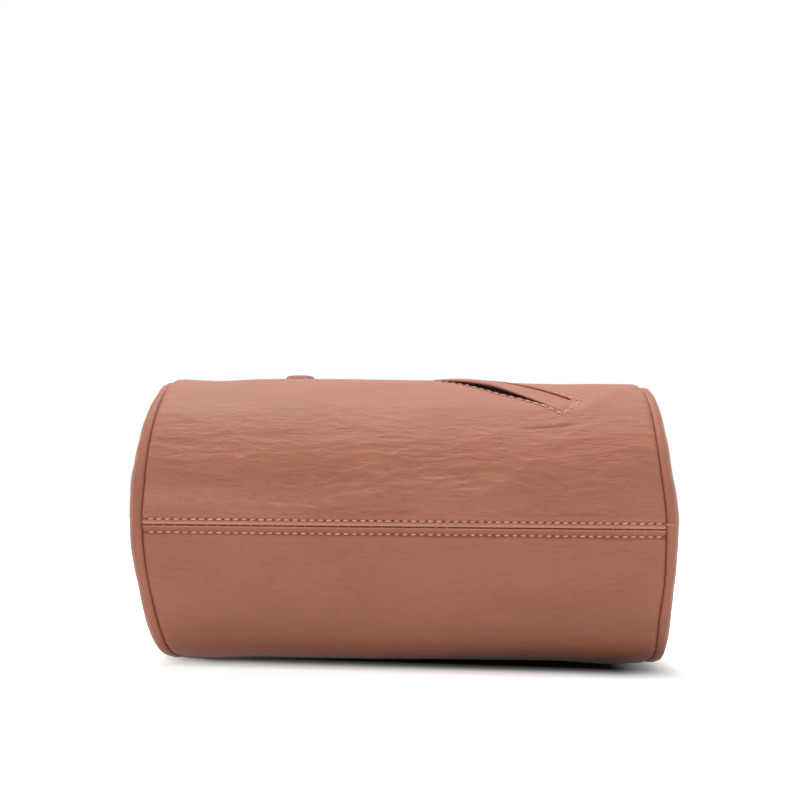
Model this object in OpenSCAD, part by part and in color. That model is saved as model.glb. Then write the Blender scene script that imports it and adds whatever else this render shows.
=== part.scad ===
// Barrel-shaped crossbody bag of crinkled nylon, lying on its back panel with the bottom seam
// towards -Y, the front panel up and the zip towards +Y. The folded strap lies behind it.

/* [Body] */
// Outer radius of the barrel
body_r = 72; // [68:1:84]
// Length of the barrel between the two end seams
seam_len = 240; // [200:2:300]
// Width of the flat that the barrel lies on
rest_w = 44; // [30:1:56]
// Thickness of the outer cloth with its backing
cloth_t = 1.8; // [1.2:0.1:2.2]
// Space between the outer cloth and the lining, filled with foam
wall_gap = 4.6; // [4.2:0.1:6]
// Thickness of the lining cloth
lining_t = 0.6; // [0.4:0.1:1]

/* [Ends] */
// How far each end panel domes out past its seam
dome_h = 15; // [12:0.5:22]
// Width of the tape that binds the raw edges of each end seam inside the bag
binding_w = 6; // [4:0.5:9]
// Thickness of that binding tape
binding_t = 2.2; // [1.4:0.1:3]

/* [Pocket] */
// Place of the pocket's middle along the bag
pocket_x = 34; // [20:1:40]
// Angle of the pocket's middle from the top, towards the bottom seam
pocket_angle = 7; // [0:1:14]
// Slant of the pocket's mouth to the bag's length
pocket_slant = 40; // [30:1:50]
// Length of the pocket's mouth
mouth_len = 112; // [90:1:120]
// Width of the pocket's mouth
mouth_w = 3.5; // [2:0.1:3.8]
// Width of the welt beside the mouth
welt_w = 9; // [7:0.5:12]
// Thickness of the welt
welt_t = 1.6; // [1:0.1:2.4]
// Room in the pocket's pouch past the ends of the mouth, along the bag
pouch_side = 16; // [10:1:18]
// Depth of the pouch below the mouth's lower end
pouch_drop = 12; // [6:1:16]
// Thickness of the pouch cloth
pouch_t = 0.5; // [0.3:0.05:0.7]

/* [Keeper loop] */
// Place of the keeper loop along the bag
loop_x = -53; // [-70:1:-45]
// Angle of the loop's middle past the top, away from the bottom seam
loop_angle = 22; // [16:1:30]
// Width of the loop
loop_w = 14.5; // [10:0.5:20]
// Length of the loop
loop_len = 42; // [34:1:50]
// Thickness of the loop's folded cloth
loop_t = 1.4; // [1:0.1:1.8]
// Height of the gap under the loop
loop_gap = 2; // [1.4:0.1:3]

/* [Zip] */
// Gap between the panel edges over the zip
zip_gap = 18; // [16:0.5:19]
// Width of both zip tapes together
tape_w = 26; // [24:0.5:26]
// Thickness of a zip tape
tape_t = 0.8; // [0.6:0.05:0.9]
// Distance of the chain's ends from the bag's end seams
chain_inset = 24; // [22:1:36]
// Spacing of the teeth on one side
tooth_pitch = 3.4; // [3:0.1:4]
// Height of a tooth through the tape
tooth_h = 2.8; // [2.4:0.1:3]
// Distance from the middle of the zip to a tooth's root
tooth_root = 2.9; // [2.6:0.1:3.2]
// Length of the slider
slider_len = 10; // [9:0.5:12]
// Length of the metal pull from its hinge
pull_len = 15; // [13:0.5:17]
// Length of the cloth tab on the pull
pull_tab_len = 15; // [10:1:16]

/* [Rings and hooks] */
// Radius of the ring wire
wire_r = 1.5; // [1.2:0.1:1.7]
// Outer radius of the ring's bow, to the middle of the wire
ring_r = 12; // [11.5:0.5:14]
// Height of a ring's hinge over the bag
ring_stand = 7; // [6:0.5:9]
// Inner radius of the snap hook's bow
bow_r = 6; // [5.8:0.1:7]
// Breadth of the hook's metal
bow_w = 2.6; // [2.2:0.1:3]
// Thickness of the hook
hook_t = 3; // [2.4:0.1:3.2]
// Straight length of the hook's sides
hook_side = 6; // [5:0.5:8]

/* [Strap] */
// Width of the webbing
strap_w = 20; // [18:0.5:20]
// Thickness of the webbing
strap_t = 1.6; // [1.2:0.1:1.8]
// Distance of the strap's folds from the bag's end seams
fold_inset = 32; // [28:1:38]
// Place of the adjuster along the strap's top run
adjuster_x = -30; // [-34:1:-24]

/* [Hidden] */
$fn = 64;

// Cloth, zip and metal colours
cloth_colour = "#b0705a";
dark_cloth_colour = "#9c5f4b";
foam_colour = "#e8e2d6";
lining_colour = "#c9a48f";
metal_colour = "#c9a15a";

// Clearances and cutting overrun
overrun = 1;
layer_gap = 0.2;
seat_gap = 0.1;
run_gap = 0.25;
turn_gap = 0.1;
slide_gap = 0.3;
head_gap = 0.3;

// Heights of the barrel's layers
axis_h = sqrt(pow(body_r, 2) - pow(rest_w / 2, 2));
foam_r = body_r - cloth_t - layer_gap;
lining_r = body_r - cloth_t - wall_gap;
inside_r = lining_r - lining_t;
half_len = seam_len / 2;

// Zip levels, measured out from the barrel's axis
chain_len = seam_len - 2 * chain_inset;
tape_top = sqrt(pow(body_r - cloth_t, 2) - pow(tape_w / 2, 2)) - slide_gap;
tape_mid = tape_top - tape_t / 2;
teeth_top = tape_mid + tooth_h / 2;
teeth_low = tape_mid - tooth_h / 2;
plate_t = 1.2;
plate_top = teeth_top + slide_gap + plate_t;
slider_half_w = tooth_root + slide_gap + plate_t;
slider_x = (chain_len - slider_len) / 2;
wedge_len = 3;
wedge_w = 2.4;
teeth_end = slider_x + slider_len / 2 - wedge_len - slide_gap;

// Bail over the slider, and the pull's hinge under it; the pull passes over the zip's end covers
bail_w = 2;
bail_t = 1;
bail_half = slider_len * 0.4;
pin_r = 0.8;
pull_w = 6;
pull_t = 1.2;
pull_tab_t = 2.6;
pull_y = body_r + slide_gap + pull_tab_t / 2;
bail_top = pull_y + pin_r + slide_gap + bail_t;
pull_eye = bail_half + bail_t + slide_gap;

// Ring hinge, and the hook that hangs on the ring's lower leg
ring_y = body_r + ring_stand;
tab_w = 2 * (ring_r - wire_r - slide_gap) - slide_gap;
tab_t = 2.6;
tab_wall = 1.5;
hook_y = ring_y + wire_r + tab_wall + turn_gap + hook_t;
ring_leg = hook_y - ring_y + hook_t / 2 + slide_gap;
wire_drop = bow_r * 0.6;
bow_z = axis_h - ring_r - wire_drop;
bow_out = bow_r + bow_w;
barrel_r = 4;
barrel_len = 6;
barrel_top = bow_z - hook_side - bow_out + bow_w / 2;
barrel_low = barrel_top - barrel_len;
post_r = 1.4;
head_r = 2.2;
head_t = 1.5;
eye_wire = 1.2;
eye_drop = 7.6;
eye_top = barrel_low - eye_wire - 2 * head_gap;
eye_z = eye_top - eye_drop;
eye_half = strap_w / 2 + eye_wire + slide_gap;
gate_x = bow_r + bow_w / 2;
gate_pivot_z = -hook_side - bow_w;
gate_r = 1.1;
gate_pin_r = 0.6;
gate_lug_r = 2.2;
mouth_top = 0.5;
knob_r = 1.2;
spring_t = 0.3;
spring_w = 1.8;

// Heights of the strap's runs: low in the middle, fanned out at the folds
fold_gap = 1.7;
fold_r = (strap_t + fold_gap) / 2;
run_half = half_len - fold_inset;
run_mid = [for (k = [0:3]) strap_t / 2 + k * (strap_t + run_gap)];
run_end = [for (k = [0:4]) strap_t / 2 + 2 * k * fold_r];
adjuster_bar_r = 1.2;
wrap_r = adjuster_bar_r + turn_gap + strap_t / 2;
end_low = run_mid[3] + strap_t + run_gap;
adjuster_bar_z = end_low + wrap_r;
return_z = end_low + 2 * wrap_r;
top_run_z = return_z + strap_t + run_gap;
fan_len = 30;
eye_wrap = eye_wire + turn_gap + strap_t / 2;
inner_bend = 3.5;
short_end = fold_inset - eye_wrap - inner_bend - fold_r - strap_t / 2 - slide_gap;
end_leaf = 20;
outer_bend = 5;
floor_bend = 6;
strap_y = hook_y;
steps = 8;

// 2D section of the barrel at a radius: a circle with the flat that it lies on
module section(r)
    intersection() {
        circle(r, $fn = 128);
        translate([-2 * body_r, -axis_h + body_r - r]) square(4 * body_r);
    }

// 2D ring of the barrel between two radii
module wall(r_out, r_in)
    difference() {
        section(r_out);
        section(r_in);
    }

// Moves a drawing from the barrel's axis to its height over the floor
module lift() translate([0, 0, axis_h]) children();

// Runs a 2D section along the bag; its x is the bag's depth and its y the height
module along_x(length)
    rotate([90, 0, 90]) translate([0, 0, -length / 2]) linear_extrude(length) children();

// Half of the barrel's wall, front (side = 1) or back (side = -1), open over the zip
module half_barrel(side, r_out, r_in, opening, length)
    lift() along_x(length)
        difference() {
            intersection() {
                wall(r_out, r_in);
                translate([-2 * body_r, side > 0 ? 0 : -4 * body_r]) square(4 * body_r);
            }
            translate([0, -opening / 2]) square([2 * body_r, opening]);
        }

// Solid dome: an ellipse of revolution, cut by the flat
module dome(r, h)
    intersection() {
        lift() rotate([0, 90, 0]) rotate_extrude($fn = 128)
            polygon([[0, 0], for (i = [0:16]) [r * cos(i * 90 / 16), h * sin(i * 90 / 16)]]);
        translate([-dome_h, -2 * body_r, body_r - r]) cube(4 * body_r);
    }

// Shell between two domes, at the right end (side = 1) or the left (side = -1)
module end_shell(side, r_out, r_in)
    mirror([side < 0 ? 1 : 0, 0, 0]) translate([half_len, 0, 0])
        difference() {
            dome(r_out, dome_h - body_r + r_out);
            translate([-seat_gap, 0, 0]) dome(r_in, dome_h - body_r + r_in);
        }

// Places a drawing on the barrel's surface: x along the bag, y round it, z outward
module on_body(x, angle) lift() translate([x, 0, 0]) rotate([angle, 0, 0]) children();

// Band of the barrel's surface between two radii, over a rectangle of its tangent plane
module patch(x, angle, slant, size, shift, r_out, r_in)
    intersection() {
        lift() along_x(seam_len) difference() {
            circle(r_out, $fn = 128);
            circle(r_in, $fn = 128);
        }
        on_body(x, angle) rotate([0, 0, -slant]) translate([-size[0] / 2, shift - size[1] / 2, 0])
            cube([size[0], size[1], 2 * body_r]);
    }

// The pocket's mouth as a cutter through the cloth
module mouth_cut()
    patch(pocket_x, pocket_angle, pocket_slant, [mouth_len, mouth_w],
        -(welt_w + mouth_w) / 2, body_r + overrun, lining_r + layer_gap + pouch_t * 2);

module front_panel() color(cloth_colour)
    difference() {
        half_barrel(1, body_r, body_r - cloth_t, zip_gap, seam_len);
        mouth_cut();
    }

module back_panel() color(cloth_colour)
    half_barrel(-1, body_r, body_r - cloth_t, zip_gap, seam_len);

module end_panel(side) color(cloth_colour) end_shell(side, body_r, body_r - cloth_t);

// Foam between cloth and lining; the pocket's pouch hangs in a window in the front one
module body_foam(side) color(foam_colour)
    difference() {
        half_barrel(side, foam_r, lining_r + layer_gap, tape_w + 2 * layer_gap, seam_len);
        if (side > 0) pouch_block(layer_gap, foam_r + overrun, lining_r - overrun);
    }

module end_foam(side) color(foam_colour) end_shell(side, foam_r, lining_r + layer_gap);

// Block that the pouch fills, grown by a margin
module pouch_block(margin, r_out, r_in) {
    reach = mouth_len / 2 * sin(pocket_slant);
    patch(pocket_x, pocket_angle, 0,
        [mouth_len * cos(pocket_slant) + 2 * (pouch_side + margin), 2 * (reach + pouch_drop + margin)],
        -pouch_drop / 2, r_out, r_in);
}

module pocket_pouch() color(lining_colour)
    difference() {
        pouch_block(0, foam_r, lining_r + layer_gap);
        pouch_block(-pouch_t, foam_r - pouch_t, lining_r + layer_gap + pouch_t);
        mouth_cut();
    }

module pocket_welt() color(dark_cloth_colour)
    patch(pocket_x, pocket_angle, pocket_slant, [mouth_len, welt_w], 0,
        body_r + seat_gap + welt_t, body_r + seat_gap);

module keeper_loop() color(cloth_colour)
    difference() {
        patch(loop_x, -loop_angle, 0, [loop_w, loop_len], 0,
            body_r + loop_gap + loop_t, body_r + seat_gap);
        patch(loop_x, -loop_angle, 0, [loop_w + overrun, loop_len - 4 * loop_t - 2 * loop_gap], 0,
            body_r + loop_gap, body_r);
    }

// Lining tube, turned out at the zip to meet the tapes
module body_lining() color(lining_colour)
    lift() along_x(seam_len) {
        edge = sqrt(pow(inside_r, 2) - pow(tape_w / 2, 2));
        difference() {
            wall(lining_r, inside_r);
            zip_mouth();
        }
        for (s = [-1, 1])
            translate([edge, s * (tape_w - lining_t) / 2 - lining_t / 2])
                square([tape_top - tape_t - seat_gap - edge, lining_t]);
    }

// 2D mouth in the lining, inside its turned-out edges
module zip_mouth()
    translate([0, -tape_w / 2 + lining_t]) square([body_r, tape_w - 2 * lining_t]);

module end_lining(side) color(lining_colour) end_shell(side, lining_r, inside_r);

// Binding ring on the inside of an end seam
module seam_binding(side) color(dark_cloth_colour)
    translate([side * (half_len - binding_t / 2), 0, 0])
        lift() along_x(binding_t)
            difference() {
                wall(inside_r - seat_gap, inside_r - seat_gap - binding_w);
                zip_mouth();
            }

// One zip tape: side 1 is sewn to the front panel, side -1 to the back
module zip_tape(side) color(dark_cloth_colour)
    lift() translate([-half_len, tape_top - tape_t, side > 0 ? tooth_root + seat_gap / 2 : -tape_w / 2])
        cube([seam_len, tape_t, tape_w / 2 - tooth_root - seat_gap / 2]);

// Outline of a tooth, from its root to the head that crosses the middle
module tooth_shape(side) {
    head = tooth_pitch * 0.42;
    neck = tooth_pitch * 0.3;
    reach = tooth_root * 0.35;
    scale([1, side])
        polygon([
            [-neck / 2, tooth_root], [-neck / 2, reach], [-head / 2, 0], [-head / 2, -reach / 2],
            [-neck / 2, -reach], [neck / 2, -reach], [head / 2, -reach / 2], [head / 2, 0],
            [neck / 2, reach], [neck / 2, tooth_root]
        ]);
}

// One side's teeth on their cord, interlocking with the other side's
module zip_teeth(side) color(metal_colour) {
    first = -chain_len / 2 + (side > 0 ? tooth_pitch / 2 : 0) + tooth_pitch / 2;
    cord_w = tooth_root * 0.3;
    lift() rotate([90, 0, 0]) translate([0, 0, -teeth_top]) linear_extrude(tooth_h)
        for (x = [first : tooth_pitch : teeth_end - tooth_pitch / 2]) translate([x, 0]) tooth_shape(side);
    lift() translate([-chain_len / 2, teeth_low, side > 0 ? tooth_root - cord_w : -tooth_root])
        cube([chain_len / 2 + teeth_end, tooth_h, cord_w]);
}

module zip_stop(x, width, z)
    lift() translate([x, teeth_low, z - width / 2]) cube([wedge_len, tooth_h, width]);

module zip_top_stops() color(metal_colour)
    for (s = [-1, 1])
        zip_stop(slider_x + slider_len / 2 + slide_gap, tooth_root - wedge_w / 4,
            s * (tooth_root + wedge_w / 4) / 2);

module zip_bottom_stop() color(metal_colour)
    zip_stop(-chain_len / 2 - wedge_len - seat_gap, 2 * tooth_root, 0);

// Folded cloth cover over each end of the zip, flush with the panels
module zip_end_cover(side) color(cloth_colour) {
    inner_x = slider_x + slider_len / 2 + 2 * slide_gap + wedge_len;
    lift() translate([side * (half_len + inner_x) / 2, 0, 0]) along_x(half_len - inner_x)
        intersection() {
            circle(body_r, $fn = 128);
            translate([tape_top + seat_gap, -zip_gap / 2 + seat_gap])
                square([body_r, zip_gap - 2 * seat_gap]);
        }
}

// Slider: two plates joined by the wedge, flanges beside the teeth and a bail on top
module zip_slider() color(metal_colour)
    lift() translate([slider_x, 0, 0]) {
        front = slider_len / 2 - wedge_len;
        for (level = [teeth_top + slide_gap, teeth_low - slide_gap - plate_t])
            rotate([90, 0, 0]) translate([0, 0, -level - plate_t]) linear_extrude(plate_t)
                slider_plate(front);
        translate([front, teeth_low - slide_gap, -wedge_w / 2])
            cube([wedge_len, tooth_h + 2 * slide_gap, wedge_w]);
        for (s = [-1, 1]) {
            flange_z = s * (slider_half_w - plate_t / 2) - plate_t / 2;
            translate([-slider_len / 2 + overrun, tape_top + slide_gap, flange_z])
                cube([slider_len - 2 * overrun, teeth_top - tape_top, plate_t]);
            translate([-slider_len / 2 + overrun, teeth_low - slide_gap, flange_z])
                cube([slider_len - 2 * overrun, tape_top - tape_t - teeth_low, plate_t]);
            translate([s * bail_half - bail_t / 2, plate_top, -bail_w / 2])
                cube([bail_t, bail_top - plate_top, bail_w]);
        }
        translate([-bail_half - bail_t / 2, bail_top - bail_t, -bail_w / 2])
            cube([2 * bail_half + bail_t, bail_t, bail_w]);
    }

module slider_plate(front) {
    translate([-slider_len / 2, -slider_half_w]) square([slider_len / 2 + front, 2 * slider_half_w]);
    intersection() {
        translate([front - slider_half_w / 2, 0]) circle(slider_half_w * 1.12);
        translate([0, -slider_half_w]) square([slider_len / 2, 2 * slider_half_w]);
    }
}

// Pull: an eye round the bail, then a tapering plate that lies back along the zip
module zip_pull() color(metal_colour)
    lift() translate([slider_x, pull_y, 0]) {
        translate([0, 0, -pull_w / 2]) cylinder(h = pull_w, r = pin_r);
        for (s = [-1, 1])
            translate([-pull_eye, -pull_t / 2, s * (pull_w / 2 - pull_t / 2) - pull_t / 2])
                cube([pull_eye, pull_t, pull_t]);
        rotate([90, 0, 0]) translate([0, 0, -pull_t / 2]) linear_extrude(pull_t)
            difference() {
                intersection() {
                    polygon([
                        [-pull_eye, pull_w / 2], [-pull_eye, -pull_w / 2],
                        [-pull_len, -pull_w * 0.7], [-pull_len, pull_w * 0.7]
                    ]);
                    union() {
                        translate([pull_w - pull_len, 0]) circle(pull_w);
                        translate([pull_w - pull_len, -pull_w]) square([pull_len, 2 * pull_w]);
                    }
                }
                translate([-pull_len + pull_t * 1.2, -pull_w * 0.36]) square([pull_t * 1.8, pull_w * 0.72]);
            }
    }

// Cloth tab folded through the slot at the end of the pull
module zip_pull_tab() color(dark_cloth_colour)
    lift() translate([slider_x - pull_len, pull_y, -pull_w * 0.35 + seat_gap]) {
        width = pull_w * 0.7 - 2 * seat_gap;
        leaf = (pull_tab_t - pull_t) / 2 - seat_gap / 2;
        for (s = [-1, 1])
            translate([-pull_tab_len, s > 0 ? pull_t / 2 + seat_gap : -pull_t / 2 - seat_gap - leaf, 0])
                cube([pull_tab_len + pull_t * 2.4, leaf, width]);
        translate([-pull_tab_len, -pull_t / 2 - seat_gap, 0])
            cube([pull_tab_len - seat_gap, pull_t + 2 * seat_gap, width]);
        translate([pull_t * 1.4, -pull_t / 2 - seat_gap, 0])
            cube([pull_t, pull_t + 2 * seat_gap, width]);
    }

// Cloth tab in the end seam, folded round the ring's straight bar
module ring_tab(side) color(dark_cloth_colour)
    difference() {
        lift() translate([side * half_len, ring_y, -tab_w / 2]) {
            cylinder(h = tab_w, r = wire_r + turn_gap + tab_wall);
            translate([-tab_t / 2, -ring_y + lining_r, 0]) cube([tab_t, ring_y - lining_r, tab_w]);
        }
        lift() translate([side * half_len, ring_y, -tab_w]) cylinder(h = 2 * tab_w, r = wire_r + turn_gap);
        lift() along_x(2 * seam_len) circle(body_r + seat_gap, $fn = 128);
    }

// D-ring: straight bar, two legs and a half-round bow
module d_ring(side) color(metal_colour)
    lift() translate([side * half_len, ring_y, 0]) {
        translate([0, 0, -ring_r]) cylinder(h = 2 * ring_r, r = wire_r);
        for (s = [-1, 1]) translate([0, 0, s * ring_r]) {
            sphere(wire_r);
            rotate([-90, 0, 0]) cylinder(h = ring_leg, r = wire_r);
        }
        translate([0, ring_leg, 0]) rotate([0, 90, 0]) rotate_extrude(angle = 180)
            translate([ring_r, 0]) circle(wire_r);
    }

// Draws in the hook's own plane: x outward from the bag, y up, centred on its bow
module hook_frame(side, thickness)
    translate([side * half_len, hook_y + thickness / 2, bow_z]) mirror([side < 0 ? 1 : 0, 0, 0])
        rotate([90, 0, 0]) linear_extrude(thickness) children();

// 2D stadium of the hook's bow
module bow_outline(r) {
    circle(r);
    translate([0, -hook_side]) circle(r);
    translate([-r, -hook_side]) square([2 * r, hook_side]);
}

// Snap hook: an open bow on a hollow barrel that turns on the eye's post
module hook(side) color(metal_colour) {
    hook_frame(side, hook_t)
        difference() {
            union() {
                bow_outline(bow_out);
                translate([gate_x, gate_pivot_z]) circle(gate_lug_r);
            }
            bow_outline(bow_r);
            translate([bow_r - bow_w / 4, gate_pivot_z]) square([2 * bow_w, mouth_top - gate_pivot_z]);
            translate([gate_x, gate_pivot_z]) circle(gate_pin_r + turn_gap / 2);
            translate([gate_x, gate_pivot_z]) circle(gate_r + slide_gap);
        }
    for (s = [-1, 1])
        translate([0, s * (hook_t + bow_w / 2) / 2, 0])
            hook_frame(side, bow_w / 2)
                difference() {
                    translate([gate_x, gate_pivot_z]) circle(gate_lug_r);
                    translate([gate_x, gate_pivot_z]) circle(gate_pin_r + turn_gap / 2);
                    translate([0, -hook_side]) circle(bow_r);
                }
    translate([side * half_len, hook_y, barrel_low])
        difference() {
            cylinder(h = barrel_len, r = barrel_r);
            translate([0, 0, -overrun]) cylinder(h = barrel_len, r = post_r + turn_gap);
            translate([0, 0, head_t]) cylinder(h = head_t + 2 * head_gap, r = head_r + head_gap);
        }
}

// Spring gate that closes the hook's mouth; it swings inward on its pin
module hook_gate(side) color(metal_colour)
    hook_frame(side, hook_t - 2 * slide_gap)
        difference() {
            union() {
                translate([gate_x, gate_pivot_z]) circle(gate_r);
                translate([gate_x - gate_r, gate_pivot_z])
                    square([2 * gate_r, mouth_top - gate_pivot_z - slide_gap]);
                translate([gate_x + gate_r, gate_pivot_z * 0.45]) circle(knob_r);
            }
            translate([gate_x, gate_pivot_z]) circle(gate_pin_r + turn_gap / 2);
        }

module hook_pin(side) color(metal_colour)
    hook_frame(side, hook_t + bow_w) translate([gate_x, gate_pivot_z]) circle(gate_pin_r);

// Leaf spring that stands on the hook beside the gate and presses it shut
module gate_spring(side) color(metal_colour)
    translate([0, (spring_w - hook_t) / 2, 0]) hook_frame(side, spring_w) {
        foot = gate_x - gate_r - slide_gap - spring_t;
        tip = gate_x - gate_r - seat_gap - spring_t;
        height = -gate_pivot_z / 2;
        polygon([
            [foot, gate_pivot_z], [foot + spring_t, gate_pivot_z],
            [tip + spring_t, gate_pivot_z + height], [tip, gate_pivot_z + height]
        ]);
    }

// Eye that the webbing is sewn round, with the headed post that the hook turns on
module hook_eye(side) color(metal_colour)
    translate([side * half_len, hook_y, 0]) {
        for (z = [eye_z, eye_top])
            translate([0, eye_half, z]) rotate([90, 0, 0]) cylinder(h = 2 * eye_half, r = eye_wire);
        for (s = [-1, 1]) translate([0, s * eye_half, 0]) {
            for (z = [eye_z, eye_top]) translate([0, 0, z]) sphere(eye_wire);
            translate([0, 0, eye_z]) cylinder(h = eye_drop, r = eye_wire);
        }
        translate([0, 0, eye_top]) cylinder(h = barrel_low + head_t + head_t - eye_top, r = post_r);
        translate([0, 0, barrel_low + head_t + head_gap]) cylinder(h = head_t, r = head_r);
    }

// Smooth step from 0 to 1
function ease(t) = t <= 0 ? 0 : t >= 1 ? 1 : t * t * (3 - 2 * t);

// Points of an arc, from one angle to another
function arc(centre, r, from, to, n) =
    [for (i = [0:n]) let (a = from + (to - from) * i / n) centre + r * [cos(a), sin(a)]];

// A folded run k, left to right: fanned at both ends, pressed flat in its middle
function run_height(k, x) =
    let (middle = k < 4 ? run_mid[k] : top_run_z, fan = ease((run_half - abs(x)) / fan_len))
    k == 4 && x > 0 ? middle : run_end[k] + (middle - run_end[k]) * fan;
function run_points(k) =
    let (points = [for (i = [0:2 * steps]) let (x = run_half * (i / steps - 1)) [x, run_height(k, x)]])
    k % 2 == 0 ? points : [for (i = [2 * steps : -1 : 0]) points[i]];
function fold_points(k) =
    let (side = k % 2 == 0 ? 1 : -1, centre = [side * run_half, (run_end[k] + run_end[k + 1]) / 2])
    [for (i = [1:steps - 1]) let (a = -90 + 180 * i / steps)
        centre + fold_r * [side * cos(a), sin(a)]];

// Centreline of the webbing, from its sewn end under the left eye to the right eye
function webbing_path() = concat(
    [[-half_len + eye_wrap + inner_bend + short_end, run_mid[1]]],
    arc([-half_len + eye_wrap + inner_bend, run_mid[1] + inner_bend], inner_bend, -90, -180, steps / 2),
    arc([-half_len, eye_z], eye_wrap, 0, 180, steps),
    arc([-half_len - eye_wrap + floor_bend, run_mid[0] + floor_bend], floor_bend, 180, 270, steps / 2),
    [for (k = [0:4]) each concat(run_points(k), k < 4 ? fold_points(k) : [])],
    arc([half_len - eye_wrap - inner_bend, top_run_z + inner_bend], inner_bend, -90, 0, steps / 2),
    arc([half_len, eye_z], eye_wrap, 180, 0, steps)
);

// Centreline of the ply that comes back from the right eye to the adjuster
function return_path() = concat(
    [[half_len + eye_wrap, eye_z - 2 * turn_gap]],
    arc([half_len + eye_wrap - outer_bend, return_z + outer_bend], outer_bend, 0, -90, steps / 2),
    [[adjuster_x + end_leaf + seat_gap, return_z]]
);

// Centreline of the webbing's end, folded round the adjuster's middle bar
function end_path() = concat(
    [[adjuster_x + end_leaf, return_z]],
    arc([adjuster_x, adjuster_bar_z], wrap_r, 90, 270, steps),
    [[adjuster_x + end_leaf, end_low]]
);

// Direction of a path at a point, and the path offset to one side
function unit(v) = v / norm(v);
function heading(path, i) =
    unit(path[min(i + 1, len(path) - 1)] - path[max(i - 1, 0)]);
function side_points(path, d) =
    [for (i = [0:len(path) - 1]) let (h = heading(path, i)) path[i] + d * [-h[1], h[0]]];

// Webbing of the strap's thickness and width along a path in the plane of the folds
module webbing(path) {
    upper = side_points(path, strap_t / 2);
    lower = side_points(path, -strap_t / 2);
    translate([0, strap_y + strap_w / 2, 0]) rotate([90, 0, 0]) linear_extrude(strap_w)
        polygon(concat(upper, [for (i = [len(lower) - 1 : -1 : 0]) lower[i]]));
}

module strap_webbing() color(dark_cloth_colour) webbing(webbing_path());
module strap_return() color(dark_cloth_colour) webbing(return_path());
module strap_end() color(dark_cloth_colour) webbing(end_path());

// 2D rectangle about the origin, with round corners
module rounded(size, r) {
    for (x = [-1, 1], y = [-1, 1]) translate([x * (size[0] / 2 - r), y * (size[1] / 2 - r)]) circle(r);
    square([size[0], size[1] - 2 * r], center = true);
    square([size[0] - 2 * r, size[1]], center = true);
}

// Adjuster: a frame whose rails lie over the webbing, with cheeks that carry a bar under it
module strap_adjuster() color(metal_colour) {
    rail_w = 3;
    rail_t = 2;
    rail_gap = 9;
    cheek_w = 2.4;
    cheek_r = 3;
    frame_w = strap_w + 2 * (slide_gap + cheek_w);
    rail_z = top_run_z + strap_t / 2 + run_gap;
    translate([adjuster_x, strap_y, 0]) {
        translate([0, 0, rail_z]) linear_extrude(rail_t)
            difference() {
                rounded([rail_gap + 2 * rail_w, frame_w], rail_w / 2);
                rounded([rail_gap, strap_w], rail_w / 2);
            }
        for (s = [-1, 1])
            translate([0, s * (frame_w - cheek_w) / 2 + cheek_w / 2, adjuster_bar_z]) rotate([90, 0, 0])
                linear_extrude(cheek_w) {
                    circle(cheek_r);
                    translate([-cheek_r, 0]) square([2 * cheek_r, rail_z - adjuster_bar_z + rail_t / 2]);
                }
        translate([0, frame_w / 2 - cheek_w / 2, adjuster_bar_z]) rotate([90, 0, 0])
            cylinder(h = frame_w - cheek_w, r = adjuster_bar_r);
    }
}

front_panel();
back_panel();
end_panel(-1);  // left_end_panel
end_panel(1);  // right_end_panel
body_foam(1);  // front_foam
body_foam(-1);  // back_foam
end_foam(-1);  // left_end_foam
end_foam(1);  // right_end_foam
body_lining();
end_lining(-1);  // left_end_lining
end_lining(1);  // right_end_lining
seam_binding(-1);  // left_seam_binding
seam_binding(1);  // right_seam_binding
pocket_welt();
pocket_pouch();
keeper_loop();
zip_tape(1);  // zip_tape_front
zip_tape(-1);  // zip_tape_back
zip_teeth(1);  // zip_teeth_front
zip_teeth(-1);  // zip_teeth_back
zip_top_stops();
zip_bottom_stop();
zip_end_cover(-1);  // left_zip_end_cover
zip_end_cover(1);  // right_zip_end_cover
zip_slider();
zip_pull();
zip_pull_tab();
ring_tab(-1);  // left_ring_tab
ring_tab(1);  // right_ring_tab
d_ring(-1);  // left_d_ring
d_ring(1);  // right_d_ring
hook(-1);  // left_hook
hook(1);  // right_hook
hook_gate(-1);  // left_hook_gate
hook_gate(1);  // right_hook_gate
hook_pin(-1);  // left_hook_pin
hook_pin(1);  // right_hook_pin
gate_spring(-1);  // left_gate_spring
gate_spring(1);  // right_gate_spring
hook_eye(-1);  // left_hook_eye
hook_eye(1);  // right_hook_eye
strap_webbing();
strap_return();
strap_adjuster();
strap_end();
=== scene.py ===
import bpy
import math
import numpy as np
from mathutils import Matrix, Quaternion, Vector


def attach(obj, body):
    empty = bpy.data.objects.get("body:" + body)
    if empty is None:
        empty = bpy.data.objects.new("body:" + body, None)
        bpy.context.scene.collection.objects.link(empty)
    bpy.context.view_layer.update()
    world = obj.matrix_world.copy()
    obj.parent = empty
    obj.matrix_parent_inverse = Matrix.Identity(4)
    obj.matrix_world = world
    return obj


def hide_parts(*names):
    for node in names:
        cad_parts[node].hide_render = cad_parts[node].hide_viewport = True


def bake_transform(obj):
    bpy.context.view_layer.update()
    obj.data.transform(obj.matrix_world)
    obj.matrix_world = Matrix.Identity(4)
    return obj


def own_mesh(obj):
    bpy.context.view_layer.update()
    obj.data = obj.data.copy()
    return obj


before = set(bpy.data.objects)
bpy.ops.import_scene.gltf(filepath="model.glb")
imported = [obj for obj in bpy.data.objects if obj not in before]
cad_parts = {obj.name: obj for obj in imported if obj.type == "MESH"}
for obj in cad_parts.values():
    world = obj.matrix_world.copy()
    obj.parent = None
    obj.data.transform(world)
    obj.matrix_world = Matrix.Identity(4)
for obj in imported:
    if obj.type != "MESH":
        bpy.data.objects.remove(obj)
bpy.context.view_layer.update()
scene = bpy.context.scene

join = np.concatenate

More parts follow.
